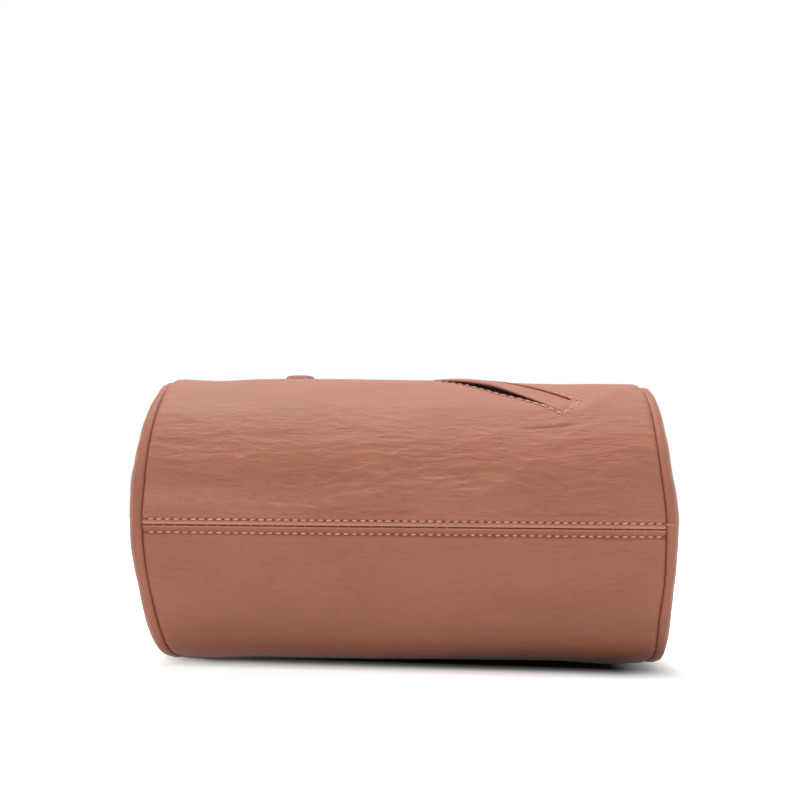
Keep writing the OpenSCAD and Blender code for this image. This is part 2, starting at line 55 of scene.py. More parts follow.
# Lengths are millimetres, turned into metres where a mesh is made. x runs along the barrel,
# phi round it, from its top towards the camera.
MM = 0.001
RAD = math.pi / 180
TURN = 2 * math.pi
R = 72.0  # barrel radius
HALF = 120.0  # from the middle to an end seam
DOME = 13.6  # how far the ends dome out
AXIS = math.sqrt(R * R - 22.0 ** 2)  # height of the barrel's axis
SIDES = (-1, "left"), (1, "right")  # ends of the barrel
TAPES = (1, "front"), (-1, "back")  # sides of the zip
SEAM = 91.5 * RAD  # bottom seam
ROW_UP, ROW_LOW = 89.4 * RAD, 94.25 * RAD  # contrast stitches beside it
PITCH = 3.95  # one contrast stitch and its gap
BACK = -math.pi / 2  # the zip, opposite the seam
ZIP_EDGE = 9.05  # from the zip's middle to a panel's edge
HEM = 2.6  # from that edge to its stitches


def add_object(name, data):
    obj = bpy.data.objects.new(name, data)
    scene.collection.objects.link(obj)
    return obj


# ---- camera

FOCAL_PX, FRAME_PX, SENSOR = 1380.0, 800, 36
TILT, ROLL = 4.54 * RAD, 0.6 * RAD
data = bpy.data.cameras.new("camera")
data.sensor_width = SENSOR
data.lens = FOCAL_PX / FRAME_PX * SENSOR
data.clip_start, data.clip_end = 0.01, 20
camera = add_object("camera", data)
camera.location = (-0.0026, -0.706, (AXIS + 6) * MM)
ahead = Vector((0, math.cos(TILT), math.sin(TILT)))
camera.rotation_mode = "QUATERNION"
camera.rotation_quaternion = ahead.to_track_quat("-Z", "Y") @ Quaternion((0, 0, 1), ROLL)
scene.camera = camera

# ---- numbers


def smooth(t, width=1.0):
    """Smooth step from 0 to 1 as t goes from 0 to width."""
    t = np.clip(t / width, 0, 1)
    return t * t * (3 - 2 * t)


def window(t, start, up, end, down):
    """1 between start and end; it rises over the length up and falls over the length down."""
    return smooth(t - start, up) * smooth(end - t, down)


def bell(t, width=1.0):
    """Bell of height 1 at 0."""
    return np.exp(-np.square(t / width))


def unit(v):
    return v / np.linalg.norm(v, axis=-1, keepdims=True)


def square_to(v, axis):
    """Unit vectors along v, made square to the unit vectors axis."""
    return unit(v - axis * (v * axis).sum(-1, keepdims=True))


def noise(p, seed):
    """Gradient noise at points p (..., 3), about -1 to 1."""
    cell = np.floor(p).astype(np.int64)
    f = p - cell
    w = f * f * f * (f * (f * 6 - 15) + 10)
    total = np.zeros(p.shape[:-1])
    for k in range(8):
        corner = np.array([k & 1, k >> 1 & 1, k >> 2 & 1])
        c = cell + corner
        h = (c[..., 0] * 73856093) ^ (c[..., 1] * 19349663) ^ (c[..., 2] * 83492791)
        h = ((h ^ (seed * 2654435761)) & 0xFFFFFFFF) * 1274126177 & 0xFFFFFFFF
        h = ((h ^ (h >> 15)) * 2246822519) & 0xFFFFFFFF
        h ^= h >> 13
        d = f - corner
        g = sum(((h >> 10 * i & 1023) / 511.5 - 1) * d[..., i] for i in range(3))
        total += g * np.where(corner, w, 1 - w).prod(-1)
    return total * 1.5


def xyz(x, y, z):
    """Points from x, y and z."""
    return np.stack(np.broadcast_arrays(x, y, z), -1)


def field(seed, a, b=0.0, c=0.0):
    """Noise at a, b, c."""
    return noise(xyz(a, b, c), seed)


def spaced(a, b, base, features):
    """Positions from a to b, base apart, closer near each feature (place, reach, step)."""
    at, out = a, [a]
    while at < b:
        step = min([base] + [s + max(0.0, abs(at - f) - reach) * 0.25 for f, reach, s in features])
        at = min(at + step, b)
        if b - at < step * 0.4:
            at = b
        out.append(at)
    return np.array(out)


def smooth_table(x, places, values, soft):
    """Values at x from a table, with its corners softened."""
    fine = np.linspace(places[0], places[-1], 400)
    raw = np.interp(fine, places, values)
    kernel = bell(np.linspace(-2, 2, max(3, int(4 * soft / (fine[1] - fine[0])))))
    pad = len(kernel)
    raw = np.convolve(np.pad(raw, pad, mode="edge"), kernel / kernel.sum(), "same")[pad:-pad]
    return np.interp(x, fine, raw)


def run_length(line):
    """How far along a line each of its points is."""
    return join([[0], np.cumsum(np.linalg.norm(np.diff(line, axis=0), axis=1))])


# ---- meshes


def make(name, points, faces, material, body="bag", slot="shell_fabric", **attributes):
    """A mesh object from points in millimetres."""
    mesh = bpy.data.meshes.new(name)
    points = (points.reshape(-1, 3) * MM).tolist()
    mesh.from_pydata(points, [], faces if isinstance(faces, list) else faces.tolist())
    mesh.validate()
    mesh.polygons.foreach_set("use_smooth", [True] * len(mesh.polygons))
    for key, values in attributes.items():
        layer = mesh.attributes.new(key, "FLOAT", "POINT")
        layer.data.foreach_set("value", np.asarray(values, np.float32).ravel())
    mesh.materials.append(material)
    obj = add_object(name, mesh)
    if body:
        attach(obj, body)
    return obj


def quads(rows, cols, around=False, flip=False):
    """Faces of a grid of rows x cols points; around joins the last column to the first."""
    i = np.arange(rows * cols).reshape(rows, cols)
    a, b = i[:-1], i[1:]
    if around:
        a, b = np.c_[a, a[:, :1]], np.c_[b, b[:, :1]]
    f = np.stack([a[:, :-1], a[:, 1:], b[:, 1:], b[:, :-1]], -1).reshape(-1, 4)
    return f[:, ::-1] if flip else f


def tube(n, m, flip=False, ends=1):
    """Faces of a closed tube: n rings of m points."""
    caps = [list(range(m)), list(range((n - 1) * m, n * m))[::-1]]
    return quads(n, m, around=True, flip=flip).tolist() + [f[::ends] for f in caps]


def copies(faces, count, size):
    """The same faces for each of count parts of size points."""
    return [[i + k * size for i in f] for k in range(count) for f in faces]


def sheet_shell(name, outer, inner, material, **more):
    """A closed shell between two grids of the same size."""
    n, m = outer.shape[:2]
    i = np.arange(n * m).reshape(n, m)
    rim = join([i[0, :-1], i[:-1, -1], i[-1, :0:-1], i[:0:-1, 0]])
    nxt = np.roll(rim, -1)
    side = np.stack([rim, rim + n * m, nxt + n * m, nxt], -1)
    faces = join([quads(n, m), quads(n, m, flip=True) + n * m, side])
    return make(name, np.stack([outer, inner]), faces, material, **more)


def sweep(name, path, side, section, material, scale=1.0, **more):
    """A section (m, 2) swept along a path; side is the direction of the section's first axis."""
    tangent = unit(np.gradient(path, axis=0))
    side = square_to(side, tangent)
    up = np.cross(side, tangent)
    section = section * np.broadcast_to(scale, len(path))[:, None, None]
    points = path[:, None] + side[:, None] * section[..., :1] + up[:, None] * section[..., 1:]
    obj = make(name, points, tube(*points.shape[:2]), material, **more)
    for end in (-1, -2):
        obj.data.polygons[end].use_smooth = False
    return obj


def band(width, thickness, across=12, sag=0.0):
    """Outline of a flat band with round edges; sag lowers its long edges."""
    r = thickness / 2
    flat = width / 2 - r
    arc = np.linspace(-90, 90, 7) * RAD
    top = np.linspace(flat, -flat, across)[1:-1]
    right = np.c_[flat + r * np.cos(arc), r * np.sin(arc)]
    out = join([right, np.c_[top, 0 * top + r], -right, np.c_[-top, 0 * top - r]])
    out[:, 1] -= sag * (out[:, 0] / (width / 2)) ** 4
    return out


# ---- the barrel's surface


def lean(x, z):
    """How far the end seams lean in, at height z over the axis: the left end more, below."""
    low, high = np.clip(-z / 68.5, 0, 1.05), np.clip(z / 68.0, 0, 1.1)
    left = 12.8 * low ** 1.9 + 3.4 * high ** 3
    right = -2.2 * smooth(high / 0.6) - 1.9 * smooth(low - 0.35, 0.4)
    return left * smooth(-x - 45, 75) + right * smooth(x - 60, 60)


def past_floor(phi):
    """Degrees past the middle of the rest face."""
    return np.mod(phi, TURN) / RAD - 180


def front_lift(phi):
    """1 where the belly's front edge lifts off the floor, 0 elsewhere."""
    past = past_floor(phi)
    return smooth(6 - past, 14) * (1 - smooth(-past - 24, 20))


def base_radius(phi):
    """Radius of the barrel at an angle: it lies on a soft flat and bulges beside it."""
    floor = AXIS / np.maximum(-np.cos(phi), 1e-3)
    h = np.clip(0.5 + 0.5 * (floor - R) / 1.2, 0, 1)
    away = np.abs(past_floor(phi)) - 42.6
    sag = 8.1 * bell(away, np.where(away < 0, 16.0, 13.8))
    return floor * (1 - h) + R * h - 1.2 * h * (1 - h) + sag - 0.5 * front_lift(phi)


def place(x, phi, rise):
    """Point of the barrel: x along it, phi round it, rise outward."""
    x, phi, rise = np.broadcast_arrays(x, phi, rise)
    middle = 1 - smooth(np.abs(x) - 70, 45)
    r = base_radius(phi) + rise - 1.6 * front_lift(phi) * middle
    z = r * np.cos(phi)
    return xyz(x + lean(x, z), -r * np.sin(phi), np.maximum(z + AXIS, 0.0))


def outward(phi, x=0.0, r=1.0):
    """Direction out of the barrel at an angle, or a point of a plain drum."""
    return xyz(x, -r * np.sin(phi), r * np.cos(phi))


def dome_rise(r):
    """How far an end stands out from its seam, at radius r."""
    share = np.clip(r / (R - 0.1), 0, 1)
    return (DOME - 3.6) * (1 - share ** 3.5) ** (1 / 3) + 3.6 * (1 - share ** 2) ** 2


# rise of the cloth along the barrel's top
TOP_X = [-120, -110, -98, -80, -60, -30, 0, 16, 28, 45, 60, 78, 98, 120]
TOP_RISE = [-0.6, -0.8, -1.3, -0.2, 0.0, 0.1, 0.1, 0.4, 0.3, -0.1, -1.1, -1.7, -1.3, -0.9]

# The pocket, on the barrel unrolled: p runs up the mouth from its right end, q across it, down
PX, PT = 85.9, 43.5
EP = np.array([-0.775, -0.632])
EQ = np.array([-0.74, 0.77])
P_LEN = 116.0
Q_FIRST, Q_LAST = -8.0, 25.0  # the patch's edges
WELT_Q = 2.8  # where the welt starts


def pocket_xy(p, q):
    return PX + EP[0] * p + EQ[0] * q, (PT + EP[1] * p + EQ[1] * q) / R


def pocket_pq(x, phi):
    dx, dt = x - PX, phi * R - PT
    det = EP[0] * EQ[1] - EP[1] * EQ[0]
    return (dx * EQ[1] - dt * EQ[0]) / det, (dt * EP[0] - dx * EP[1]) / det


def line_away(x, phi, a, b):
    """Distance of a point to a line a-b on the unrolled barrel, and how far along it is."""
    a, b = (complex(x0, deg * RAD * R) for x0, deg in (a, b))
    at = (x + 1j * phi * R - a) / (b - a)
    return at.imag * abs(b - a), at.real


def crinkle(x, phi):
    """How strong the cloth's crinkle is, 0 to 1."""
    deg = phi / RAD
    upper = 0.2 + (0.62 * smooth(deg - 30, 30) + 0.75 * smooth(deg - 60, 20)) \
        * (1 - smooth(deg - 87, 5))
    lower = 1.0 - 0.5 * smooth(deg - 112, 18)
    behind = 0.45 - 0.15 * smooth(deg + 40, 40)
    out = np.select([deg < 0, deg < 92, deg <= 185], [behind, upper, lower], 0.45)
    ends = smooth(HALF - np.abs(x), 14)
    seam = 1 - 0.85 * bell((phi - SEAM) * R / 3.4)
    corner = 1 - 0.75 * smooth(x - 72, 12) * smooth(47 - deg, 10) * (deg > -20)
    return out * (0.35 + 0.65 * ends) * seam * corner


def skin(x, phi):
    """Rise of the cloth over the plain barrel, and the shade painted into its colour: 1 is darkest,
    below 0 is a painted highlight."""
    x, phi = np.broadcast_arrays(x, phi)
    t = phi * R
    deg = phi / RAD
    drum = outward(phi, x, R)
    strength = crinkle(x, phi)

    def n(along, across, seed, shift=0.0):
        q = drum / np.array([along, across, across])
        q[..., 1:] += np.asarray(shift)[..., None] / across
        return noise(q + 31.7, seed)

    # crinkle, broad swells and the shape of the top
    drift = 3.0 * n(34, 20, 1)
    fine = n(11, 3.3, 2, drift)
    sharp = 1 - np.abs(n(10, 3.0, 3, drift * 0.8))
    wave = 1 - np.abs(n(19, 6.0, 4, drift))
    patchy = smooth(0.6 + 0.9 * n(38, 15, 5))
    rise = strength * (0.2 * fine * patchy + 0.12 * (sharp ** 4 - 0.35) * patchy
                       + 0.32 * (wave ** 3 - 0.4))
    rise += 0.85 * n(70, 21, 6) * (0.35 + 0.65 * strength) + 0.5 * n(60, 34, 7)
    rise += 0.4 * strength * n(30, 10, 8, drift)
    rise += smooth_table(x, TOP_X, TOP_RISE, 7.0) * bell(deg - 4, 30)
    rise -= 0.5 * bell(deg - 52, 10) * bell(x - 30, 70)

    # bottom seam: groove, the ridges beside it and the two rows that the stitches pull down
    s = (phi - SEAM) * R
    up, low = (ROW_UP - SEAM) * R, (ROW_LOW - SEAM) * R
    beat = np.cos(TURN * x / PITCH)
    tight = 0.8 + 0.25 * beat
    ends = smooth(HALF + 1 - np.abs(x), 4)
    swell = bell(s + 5, np.where(s < -5, 8, 6)) - 0.5 * bell(s + 22, 9)
    rise += (0.6 + 0.9 * smooth(10 - x, 100)) * swell * (s < 8)
    rise -= 0.7 * bell(s, 0.26) * ends
    rise += np.where(s < 0, 0.85 * bell(s + 0.6, 1.15), 0.6 * bell(s - 0.45, 1.3))
    rise -= (0.62 * bell(s - up, 0.62) + 0.72 * bell(s - low, 0.68)) * tight
    rise += 0.22 * (bell(s - up + 2.0, 1.2) + bell(s - low - 2.0, 1.2))
    # painted shade: the seam's groove, the stitched valleys, the gaps between stitches and the
    # cloth from the seam down to the lower row are darkened in colour
    dark = bell(s, 0.27) + 0.2 * bell(s - up, 0.6) + 0.18 * bell(s - low, 0.75)
    dark += 0.11 * (1 - beat) * (bell(s - up, 0.8) + 1.3 * bell(s - low, 0.85))
    dark += 0.22 * smooth(s - 1.0, 0.6) * (1 - smooth(s - low, 0.8))
    # painted highlights: the ridge above the seam, the thin lip below it and the swell above the
    # seam are lightened in colour
    dark -= 0.75 * smooth(s - up - 0.35, 0.7) * (1 - smooth(s + 0.5, 0.3))
    dark -= 0.4 * bell(s - 0.66, 0.26)
    seam_swell_highlight = (0.11 + 0.17 * smooth(-x - 10, 80)) * (0.6 + 0.5 * patchy)
    dark -= seam_swell_highlight * bell(s + 12.5, 7)

    # end seams: the panels round down into a groove, with small puckers
    for side in (-1, 1):
        d = HALF - side * x
        turn_in = np.clip(1 - d / 3.6, 0, 1)
        pucker = field(11, t / 4.2, d / 22, side * 9.0)
        pucker += 0.6 * field(12, t / 1.9, d / 9, side * 5.0)
        rise -= 1.6 * (1 - np.sqrt(1 - turn_in ** 2 * 0.98))
        rise += 0.42 * pucker * np.exp(-np.maximum(d, 0) / 5.5)
        # painted shade along the end seams' groove
        width = 0.42 + 0.36 * smooth(np.abs(deg - 90) - 6, 30) * (deg > 90)
        notch = 0.7 + 0.5 * np.abs(np.sin(math.pi * t / 2.9)) + 0.3 * field(13, t / 2.2, side * 7.0)
        top = 0.35 + 0.65 * smooth(np.abs(deg) - 22, 22)
        dark += (0.9 * bell(d / (width * notch)) + 0.07 * bell(d, 1.4)) * top

    # zip hems: a stitched valley beside each edge
    hem = np.abs(np.abs((phi - BACK + math.pi) % TURN - math.pi) * R - ZIP_EDGE)
    rise *= 0.25 + 0.75 * smooth(hem - 1, 9)
    rise -= 0.35 * bell(hem - HEM, 0.6)

    # what the pocket does to the cloth round it: a crease below it, a swell to its right
    away, share = line_away(x, phi, (48.0, 52.5), (82.0, 49.4))
    away = away + 1.6 * (share - 0.5) ** 2
    rise += window(share, 0, 0.3, 1.1, 0.3) * (
        0.22 * bell(away + 1.9, 1.6) - 0.42 * bell(away, 0.7) - 0.12 * bell(away - 4, 4))
    away, share = line_away(x, phi, (84.0, 43.5), (113.0, 17.0))
    rise += 0.7 * window(share, -0.05, 0.2, 1.15, 0.35) * bell(away, 6)

    # flat on the floor, lifted a little at both ends
    rise *= smooth(np.abs(deg - 180) - 15, 8)
    rise -= 1.2 * smooth(np.abs(x) - 98, 20) * (1 - smooth(np.abs(deg - 180) - 30, 25))
    return rise, np.clip(dark, -1, 1)


# ---- materials


class Shader:
    """Builds the nodes of a material or a world. Sizes are millimetres."""

    def __init__(self, data):
        data.use_nodes = True
        self.data, self.tree = data, data.node_tree

    def put(self, socket, value):
        if isinstance(value, bpy.types.NodeSocket):
            self.tree.links.new(value, socket)
        else:
            socket.default_value = value

    def add(self, kind, values=None, **settings):
        n = self.tree.nodes.new("ShaderNode" + kind)
        for key, value in settings.items():
            setattr(n, key, value)
        for key, value in (values or {}).items():
            self.put(n.inputs[key], value)
        return n

    def math(self, operation, a, b=0.0):
        return self.add("Math", {0: a, 1: b}, operation=operation).outputs[0]

    def plus(self, a, b):
        return self.math("ADD", a, b)

    def times(self, a, b):
        return self.math("MULTIPLY", a, b)

    def mix(self, share, a, b):
        return self.add("Mix", {0: share, 6: a, 7: b}, data_type="RGBA").outputs[2]

    def place(self, scale=(1000,) * 3):
        at = self.add("TexCoord").outputs["Object"]
        return self.add("Mapping", {"Vector": at, "Scale": scale}).outputs[0]

    def noise(self, size, detail=2.0, rough=0.5, distortion=0.0):
        """Noise whose cells have the given sizes along the axes, or one size."""
        sizes = size if isinstance(size, tuple) else (size,) * 3
        at = self.place(tuple(1000 / s for s in sizes))
        return self.add("TexNoise", {"Vector": at, "Scale": 1.0, "Detail": detail,
                                     "Roughness": rough, "Distortion": distortion}).outputs["Fac"]

    def bands(self, scale, direction, **values):
        return self.add("TexWave", {"Vector": self.place(), "Scale": scale, **values},
                        wave_type="BANDS", bands_direction=direction).outputs["Fac"]

    def attribute(self, name):
        return self.add("Attribute", attribute_name=name).outputs["Fac"]

    def bump(self, height, strength, distance, **normal):
        values = {"Height": height, "Strength": strength, "Distance": distance * MM}
        return self.add("Bump", {**values, **normal}).outputs[0]

    def ramp(self, value, low, high, a=0.0, b=1.0):
        return self.add("MapRange", {0: value, 1: low, 2: high, 3: a, 4: b}).outputs[0]

    def seen(self):
        """1 for what the camera sees, straight, in a reflection or through something clear."""
        rays = self.add("LightPath").outputs
        direct = self.math("MAXIMUM", rays["Is Camera Ray"], rays["Is Glossy Ray"])
        return self.math("MAXIMUM", direct, rays["Is Transmission Ray"])

    def finish(self, **values):
        bsdf = self.tree.nodes["Principled BSDF"]
        for key, value in values.items():
            self.put(bsdf.inputs[key.replace("_", " ")], value)
        return self.data


def new_material(name):
    return Shader(bpy.data.materials.new(name))


def rgb(text):
    """Linear colour of an sRGB hex code."""
    c = [int(text[i:i + 2], 16) / 255 for i in (0, 2, 4)]
    return tuple(v / 12.92 if v <= 0.04045 else ((v + 0.055) / 1.055) ** 2.4 for v in c) + (1.0,)


# colours of the painted highlight and of the deepest painted shade
PAINTED_HIGHLIGHT, DEEP = "D49A80", "240C08"
THREAD_COUNT = 0.5 / 0.42  # scale of the weave's bands


def cloth(name, light, dark, groove=None, bump=1.0):
    """Woven nylon: uneven colour, fine crinkle and weave. With a groove's colour it also follows
    the mesh's own "dark" (painted shade in grooves, painted highlights) and "crinkle" (its
    strength)."""
    s = new_material(name)
    broad = s.noise((60, 26, 26), 3.0, 0.55)
    small = s.noise((7, 2.2, 2.2), 2.0, 0.6, 0.4)
    colour = s.mix(s.ramp(broad, 0.3, 0.7), rgb(dark), rgb(light))
    colour = s.mix(s.ramp(small, 0.45, 0.75, 0.0, 0.3), colour, rgb(light))
    dents = s.ramp(s.noise((6.0, 1.7, 1.7), 1.0, 0.5, 0.5), 0.5, 0.78)
    swells = s.ramp(s.noise((7.4, 2.1, 2.1), 1.0, 0.5, 0.6), 0.52, 0.8)
    creases = s.plus(s.math("SUBTRACT", swells, dents), s.times(s.noise((12.0, 4.0, 4.0)), 1.6))
    if groove:
        tone, strength = s.attribute("dark"), s.attribute("crinkle")
        # painted highlight below 0, painted shade in grooves up to 1, deeper painted shade up to 2
        for low, high, shade in ((0.0, -1.0, PAINTED_HIGHLIGHT), (0.0, 1.0, groove), (1.0, 2.0, DEEP)):
            colour = s.mix(s.ramp(tone, low, high), colour, rgb(shade))
        creases = s.times(creases, strength)
        # painted shade in the crinkle's dents
        colour = s.mix(s.times(s.times(dents, strength), 0.1), colour, rgb(groove))
    weave = s.times(s.plus(s.bands(THREAD_COUNT, "X"), s.bands(THREAD_COUNT, "DIAGONAL")), 0.5)
    normal = s.bump(weave, 0.25, 0.05 * bump)
    normal = s.bump(creases, 0.9, 0.21 * bump, Normal=normal)
    return s.finish(Base_Color=colour, Roughness=0.62, Normal=normal, Sheen_Weight=0.12,
                    Sheen_Roughness=0.4, Specular_IOR_Level=0.32)


def thread(name, light, dark):
    s = new_material(name)
    twist = s.bands(0.9, "DIAGONAL", Distortion=0.6)
    colour = s.mix(s.ramp(s.noise(1.6), 0.3, 0.7), rgb(dark), rgb(light))
    return s.finish(Base_Color=colour, Roughness=0.6, Normal=s.bump(twist, 0.5, 0.12),
                    Sheen_Weight=0.2)


def metal(name, colour, dull, rough):
    """Plated metal with faint brushing and smudges."""
    s = new_material(name)
    smudge = s.noise(9.0, 4.0, 0.6)
    brush = s.noise((14, 0.5, 0.5), 2.0, 0.6)
    shade = s.mix(s.ramp(smudge, 0.35, 0.7), rgb(colour), rgb(dull))
    roughness = s.ramp(s.plus(smudge, s.times(brush, 0.5)), 0.4, 1.1, rough, rough + 0.16)
    return s.finish(Base_Color=shade, Metallic=1.0, Roughness=roughness,
                    Normal=s.bump(brush, 0.12, 0.05))


def foam_material(name, light, dark):
    s = new_material(name)
    cells = s.add("TexVoronoi", {"Vector": s.place(), "Scale": 1.1}).outputs["Distance"]
    # painted shade: the colour follows the cells, darker in their hollows
    colour = s.mix(s.ramp(cells, 0.1, 0.6), rgb(dark), rgb(light))
    return s.finish(Base_Color=colour, Roughness=0.9, Normal=s.bump(cells, 0.6, 0.4),
                    Sheen_Weight=0.1)


def webbing_material(name, light, dark, rib):
    """Ribbed webbing: ribs along its length, crossed by a fine twill."""
    s = new_material(name)
    ribs = s.bands(0.32 / rib, "Y")
    twill = s.bands(0.3, "DIAGONAL", Distortion=0.5, Detail=1.0)
    height = s.plus(s.times(ribs, 0.6), s.times(twill, 0.5))
    # painted shade: the colour follows the weave's height, darker in the grooves between ribs
    colour = s.mix(s.ramp(height, 0.2, 0.9), rgb(dark), rgb(light))
    colour = s.mix(s.ramp(s.noise(22.0, 3.0), 0.4, 0.7, 0.0, 0.35), colour, rgb(dark))
    return s.finish(Base_Color=colour, Roughness=0.72, Normal=s.bump(height, 0.7, 0.28),
                    Sheen_Weight=0.3)


# each cloth's third colour is its painted shade in grooves
SHELL = cloth("shell_cloth", "B3735B", "A96A53", "8A3820")
# a darker copy of the shell cloth, for the panel below the seam and round the back: painted shade
BASE = cloth("base_cloth", "AD6E57", "A3664F", "863620")
RIM = cloth("rim_cloth", "B2725B", "A86953", "8A3820", bump=0.8)
LOOP = cloth("loop_cloth", "A96A55", "9A5C48", bump=0.3)
LINING = cloth("lining_cloth", "CDA893", "BC937E", bump=0.25)
TAPE = webbing_material("zip_tape_weave", "A9705D", "8E5846", 0.8)
WEB = webbing_material("strap_weave", "A66B58", "86503F", 1.6)
BIND = webbing_material("binding_weave", "9C6250", "7E4A3A", 0.7)
FOAM = foam_material("foam_cells", "EDE8DC", "D8D0C0")
THREAD = thread("contrast_thread", "EDC0AB", "D39B85")
TONAL = thread("tonal_thread", "B87762", "9A5C49")
BRASS = metal("pale_brass", "D9B46F", "B98F4E", 0.22)
STEEL = metal("spring_steel", "B9BABC", "8E9093", 0.26)
# dark colour of the needle holes: painted shade inside them
s = new_material("needle_hole")
HOLE = s.finish(Base_Color=s.mix(s.noise(2.0), rgb("6C2A18"), rgb("7C3A26")), Roughness=0.9)

rng = np.random.default_rng(7)

# ---- panels


def panel(name, phi_rows, sink, base, node, material, hole=None):
    """One panel of the barrel's cloth, with its edges turned in."""
    x = spaced(-HALF, HALF, base, [(-HALF, 5, 0.35), (HALF, 5, 0.35)])
    xs = join([[-HALF + 1.5, -HALF], x, [HALF, HALF - 1.5]])
    drop = join([[5.0, 4.0], x * 0, [4.0, 5.0]])
    X, PHI = np.meshgrid(xs, phi_rows)
    rise, dark = skin(X, PHI)
    faces = quads(*X.shape, flip=True)
    if hole:
        faces = faces[~hole(X.ravel()[faces].mean(1), PHI.ravel()[faces].mean(1))]
    # painted shade where the panel's edges turn in
    edge = np.maximum(np.clip(drop / 4, 0, 1), np.clip(sink[:, None] / 3, 0, 1))
    dark = np.where(edge > 0, np.maximum(dark, edge), dark)
    obj = make(name, place(X, PHI, rise - drop - sink[:, None]), faces, material,
               dark=dark, crinkle=crinkle(X, PHI))
    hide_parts(node)


def panel_rows(start, end, base):
    """Angles of a panel's rows, closer at the bottom seam and at the panel's edges."""
    features = [(SEAM * R, 7, 0.22), (start * R, 4, 0.4), (end * R, 4, 0.4)]
    return spaced(start * R, end * R, base, features) / R


def in_pocket(x, phi):
    p, q = pocket_pq(x, phi)
    return (p > -5.5) & (p < P_LEN + 5.5) & (q > -5.5) & (q < 22.0)


fold = np.array([3.2, 0.05, 0.0]) / R  # rows turned in at the zip
tuck = np.array([0.02, 1.2]) / R  # and at the seam
rows = panel_rows(BACK + ZIP_EDGE / R, SEAM - 0.05 / R, 0.72)
panel("front_panel_skin", join([rows[0] + fold, rows, SEAM - tuck]),
      join([[2.7, 2.4, 0.6], rows * 0, [3.2, 4.2]]), 0.72, "front_panel", SHELL,
      in_pocket)
rows = panel_rows(SEAM + 0.05 / R, BACK + TURN - ZIP_EDGE / R, 0.95)
panel("back_panel_skin", join([SEAM + tuck[::-1], rows, rows[-1] - fold[::-1]]),
      join([[4.2, 3.2], rows * 0, [0.6, 2.4, 2.7]]), 0.95, "back_panel", BASE)


def end_point(side, rad, phi, off):
    """Point of an end: off outward from the seam, at radius rad and angle phi."""
    top = np.minimum(np.mod(phi, TURN), TURN - np.mod(phi, TURN))
    rad = rad - 1.5 * bell(top / 0.55) * (rad / R) ** 4
    if side < 0:
        off = off - 1.7 * bell(rad * np.cos(phi) + 8, 34) * smooth(R - 2 - rad, 25)
    z = rad * np.cos(phi)
    x = side * (HALF + off)
    return xyz(x + lean(x, z * np.clip(R / np.maximum(rad, 30), 1, 1.2)), -rad * np.sin(phi),
               np.maximum(z + AXIS, 0))


def end_cap(side, name, node):
    """A domed end panel, padded, rising out of the seam's groove."""
    n = 400
    phi = np.linspace(0, TURN, n, endpoint=False)
    groove = np.array([(-1.5, -5.6), (-0.3, -4.2), (0.0, -3.2), (0.2, -2.4), (0.5, -1.85),
                       (1.0, -1.55), (1.8, -1.35)])
    radii = join([np.linspace(R - 1.3, R - 6, 16), np.linspace(R - 7, 1.5, 46)])
    r = join([R + groove[:, 1], radii])
    OFF, PHI = np.meshgrid(join([groove[:, 0], dome_rise(radii)]), phi, indexing="ij")
    RR = np.broadcast_to(r[:, None], OFF.shape)
    drum = outward(PHI, side * 50, RR)
    near = np.exp(-np.maximum(R - RR, 0) / 13)
    ripple = field(21, PHI * R / 11, RR / 30, side * 3.0)
    ripple *= np.minimum(1, np.minimum(PHI, TURN - PHI) * 4)
    soft = 0.9 * noise(drum / 42, 22) + 0.35 * noise(drum / 15, 23)
    inside = smooth(OFF - 0.3, 3)
    rad = RR / R * base_radius(PHI) + 0.12 * ripple * near * inside
    points = end_point(side, rad, PHI, OFF + inside * (soft + 0.4 * ripple * near))
    # painted shade in the groove where the end rises out of the seam
    dark = np.clip(bell(OFF + 0.1, 0.42) + (OFF < 0), 0, 1)
    faces = quads(*OFF.shape, around=True, flip=side > 0).tolist()
    points = join([points.reshape(-1, 3), points[-1].mean(0, keepdims=True)])
    hub = len(r) * n
    faces += [[hub, hub - n + k, hub - n + (k + 1) % n][::-side] for k in range(n)]
    strength = 0.3 + 0.7 * smooth(R - 6 - RR, 12)
    obj = make(name, points, faces, RIM, dark=np.append(dark, 0), crinkle=np.append(strength, 1))
    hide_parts(node)


for side, word in SIDES:
    end_cap(side, word + "_end_skin", word + "_end_panel")

# ---- pocket


def mouth_gape(p):
    """How far the mouth stands open, 0 to 1."""
    return window(p, 4, 46, P_LEN - 6, 30)


def mouth_low(p):
    """The mouth's lower edge."""
    return 13.3 + 4.2 * window(p, 6, 34, P_LEN - 4, 40)


def mouth_sag(p, q):
    """How the cloth below the mouth sags inward."""
    return -0.8 * bell(q - mouth_low(p) - 2, 9) * mouth_gape(p)


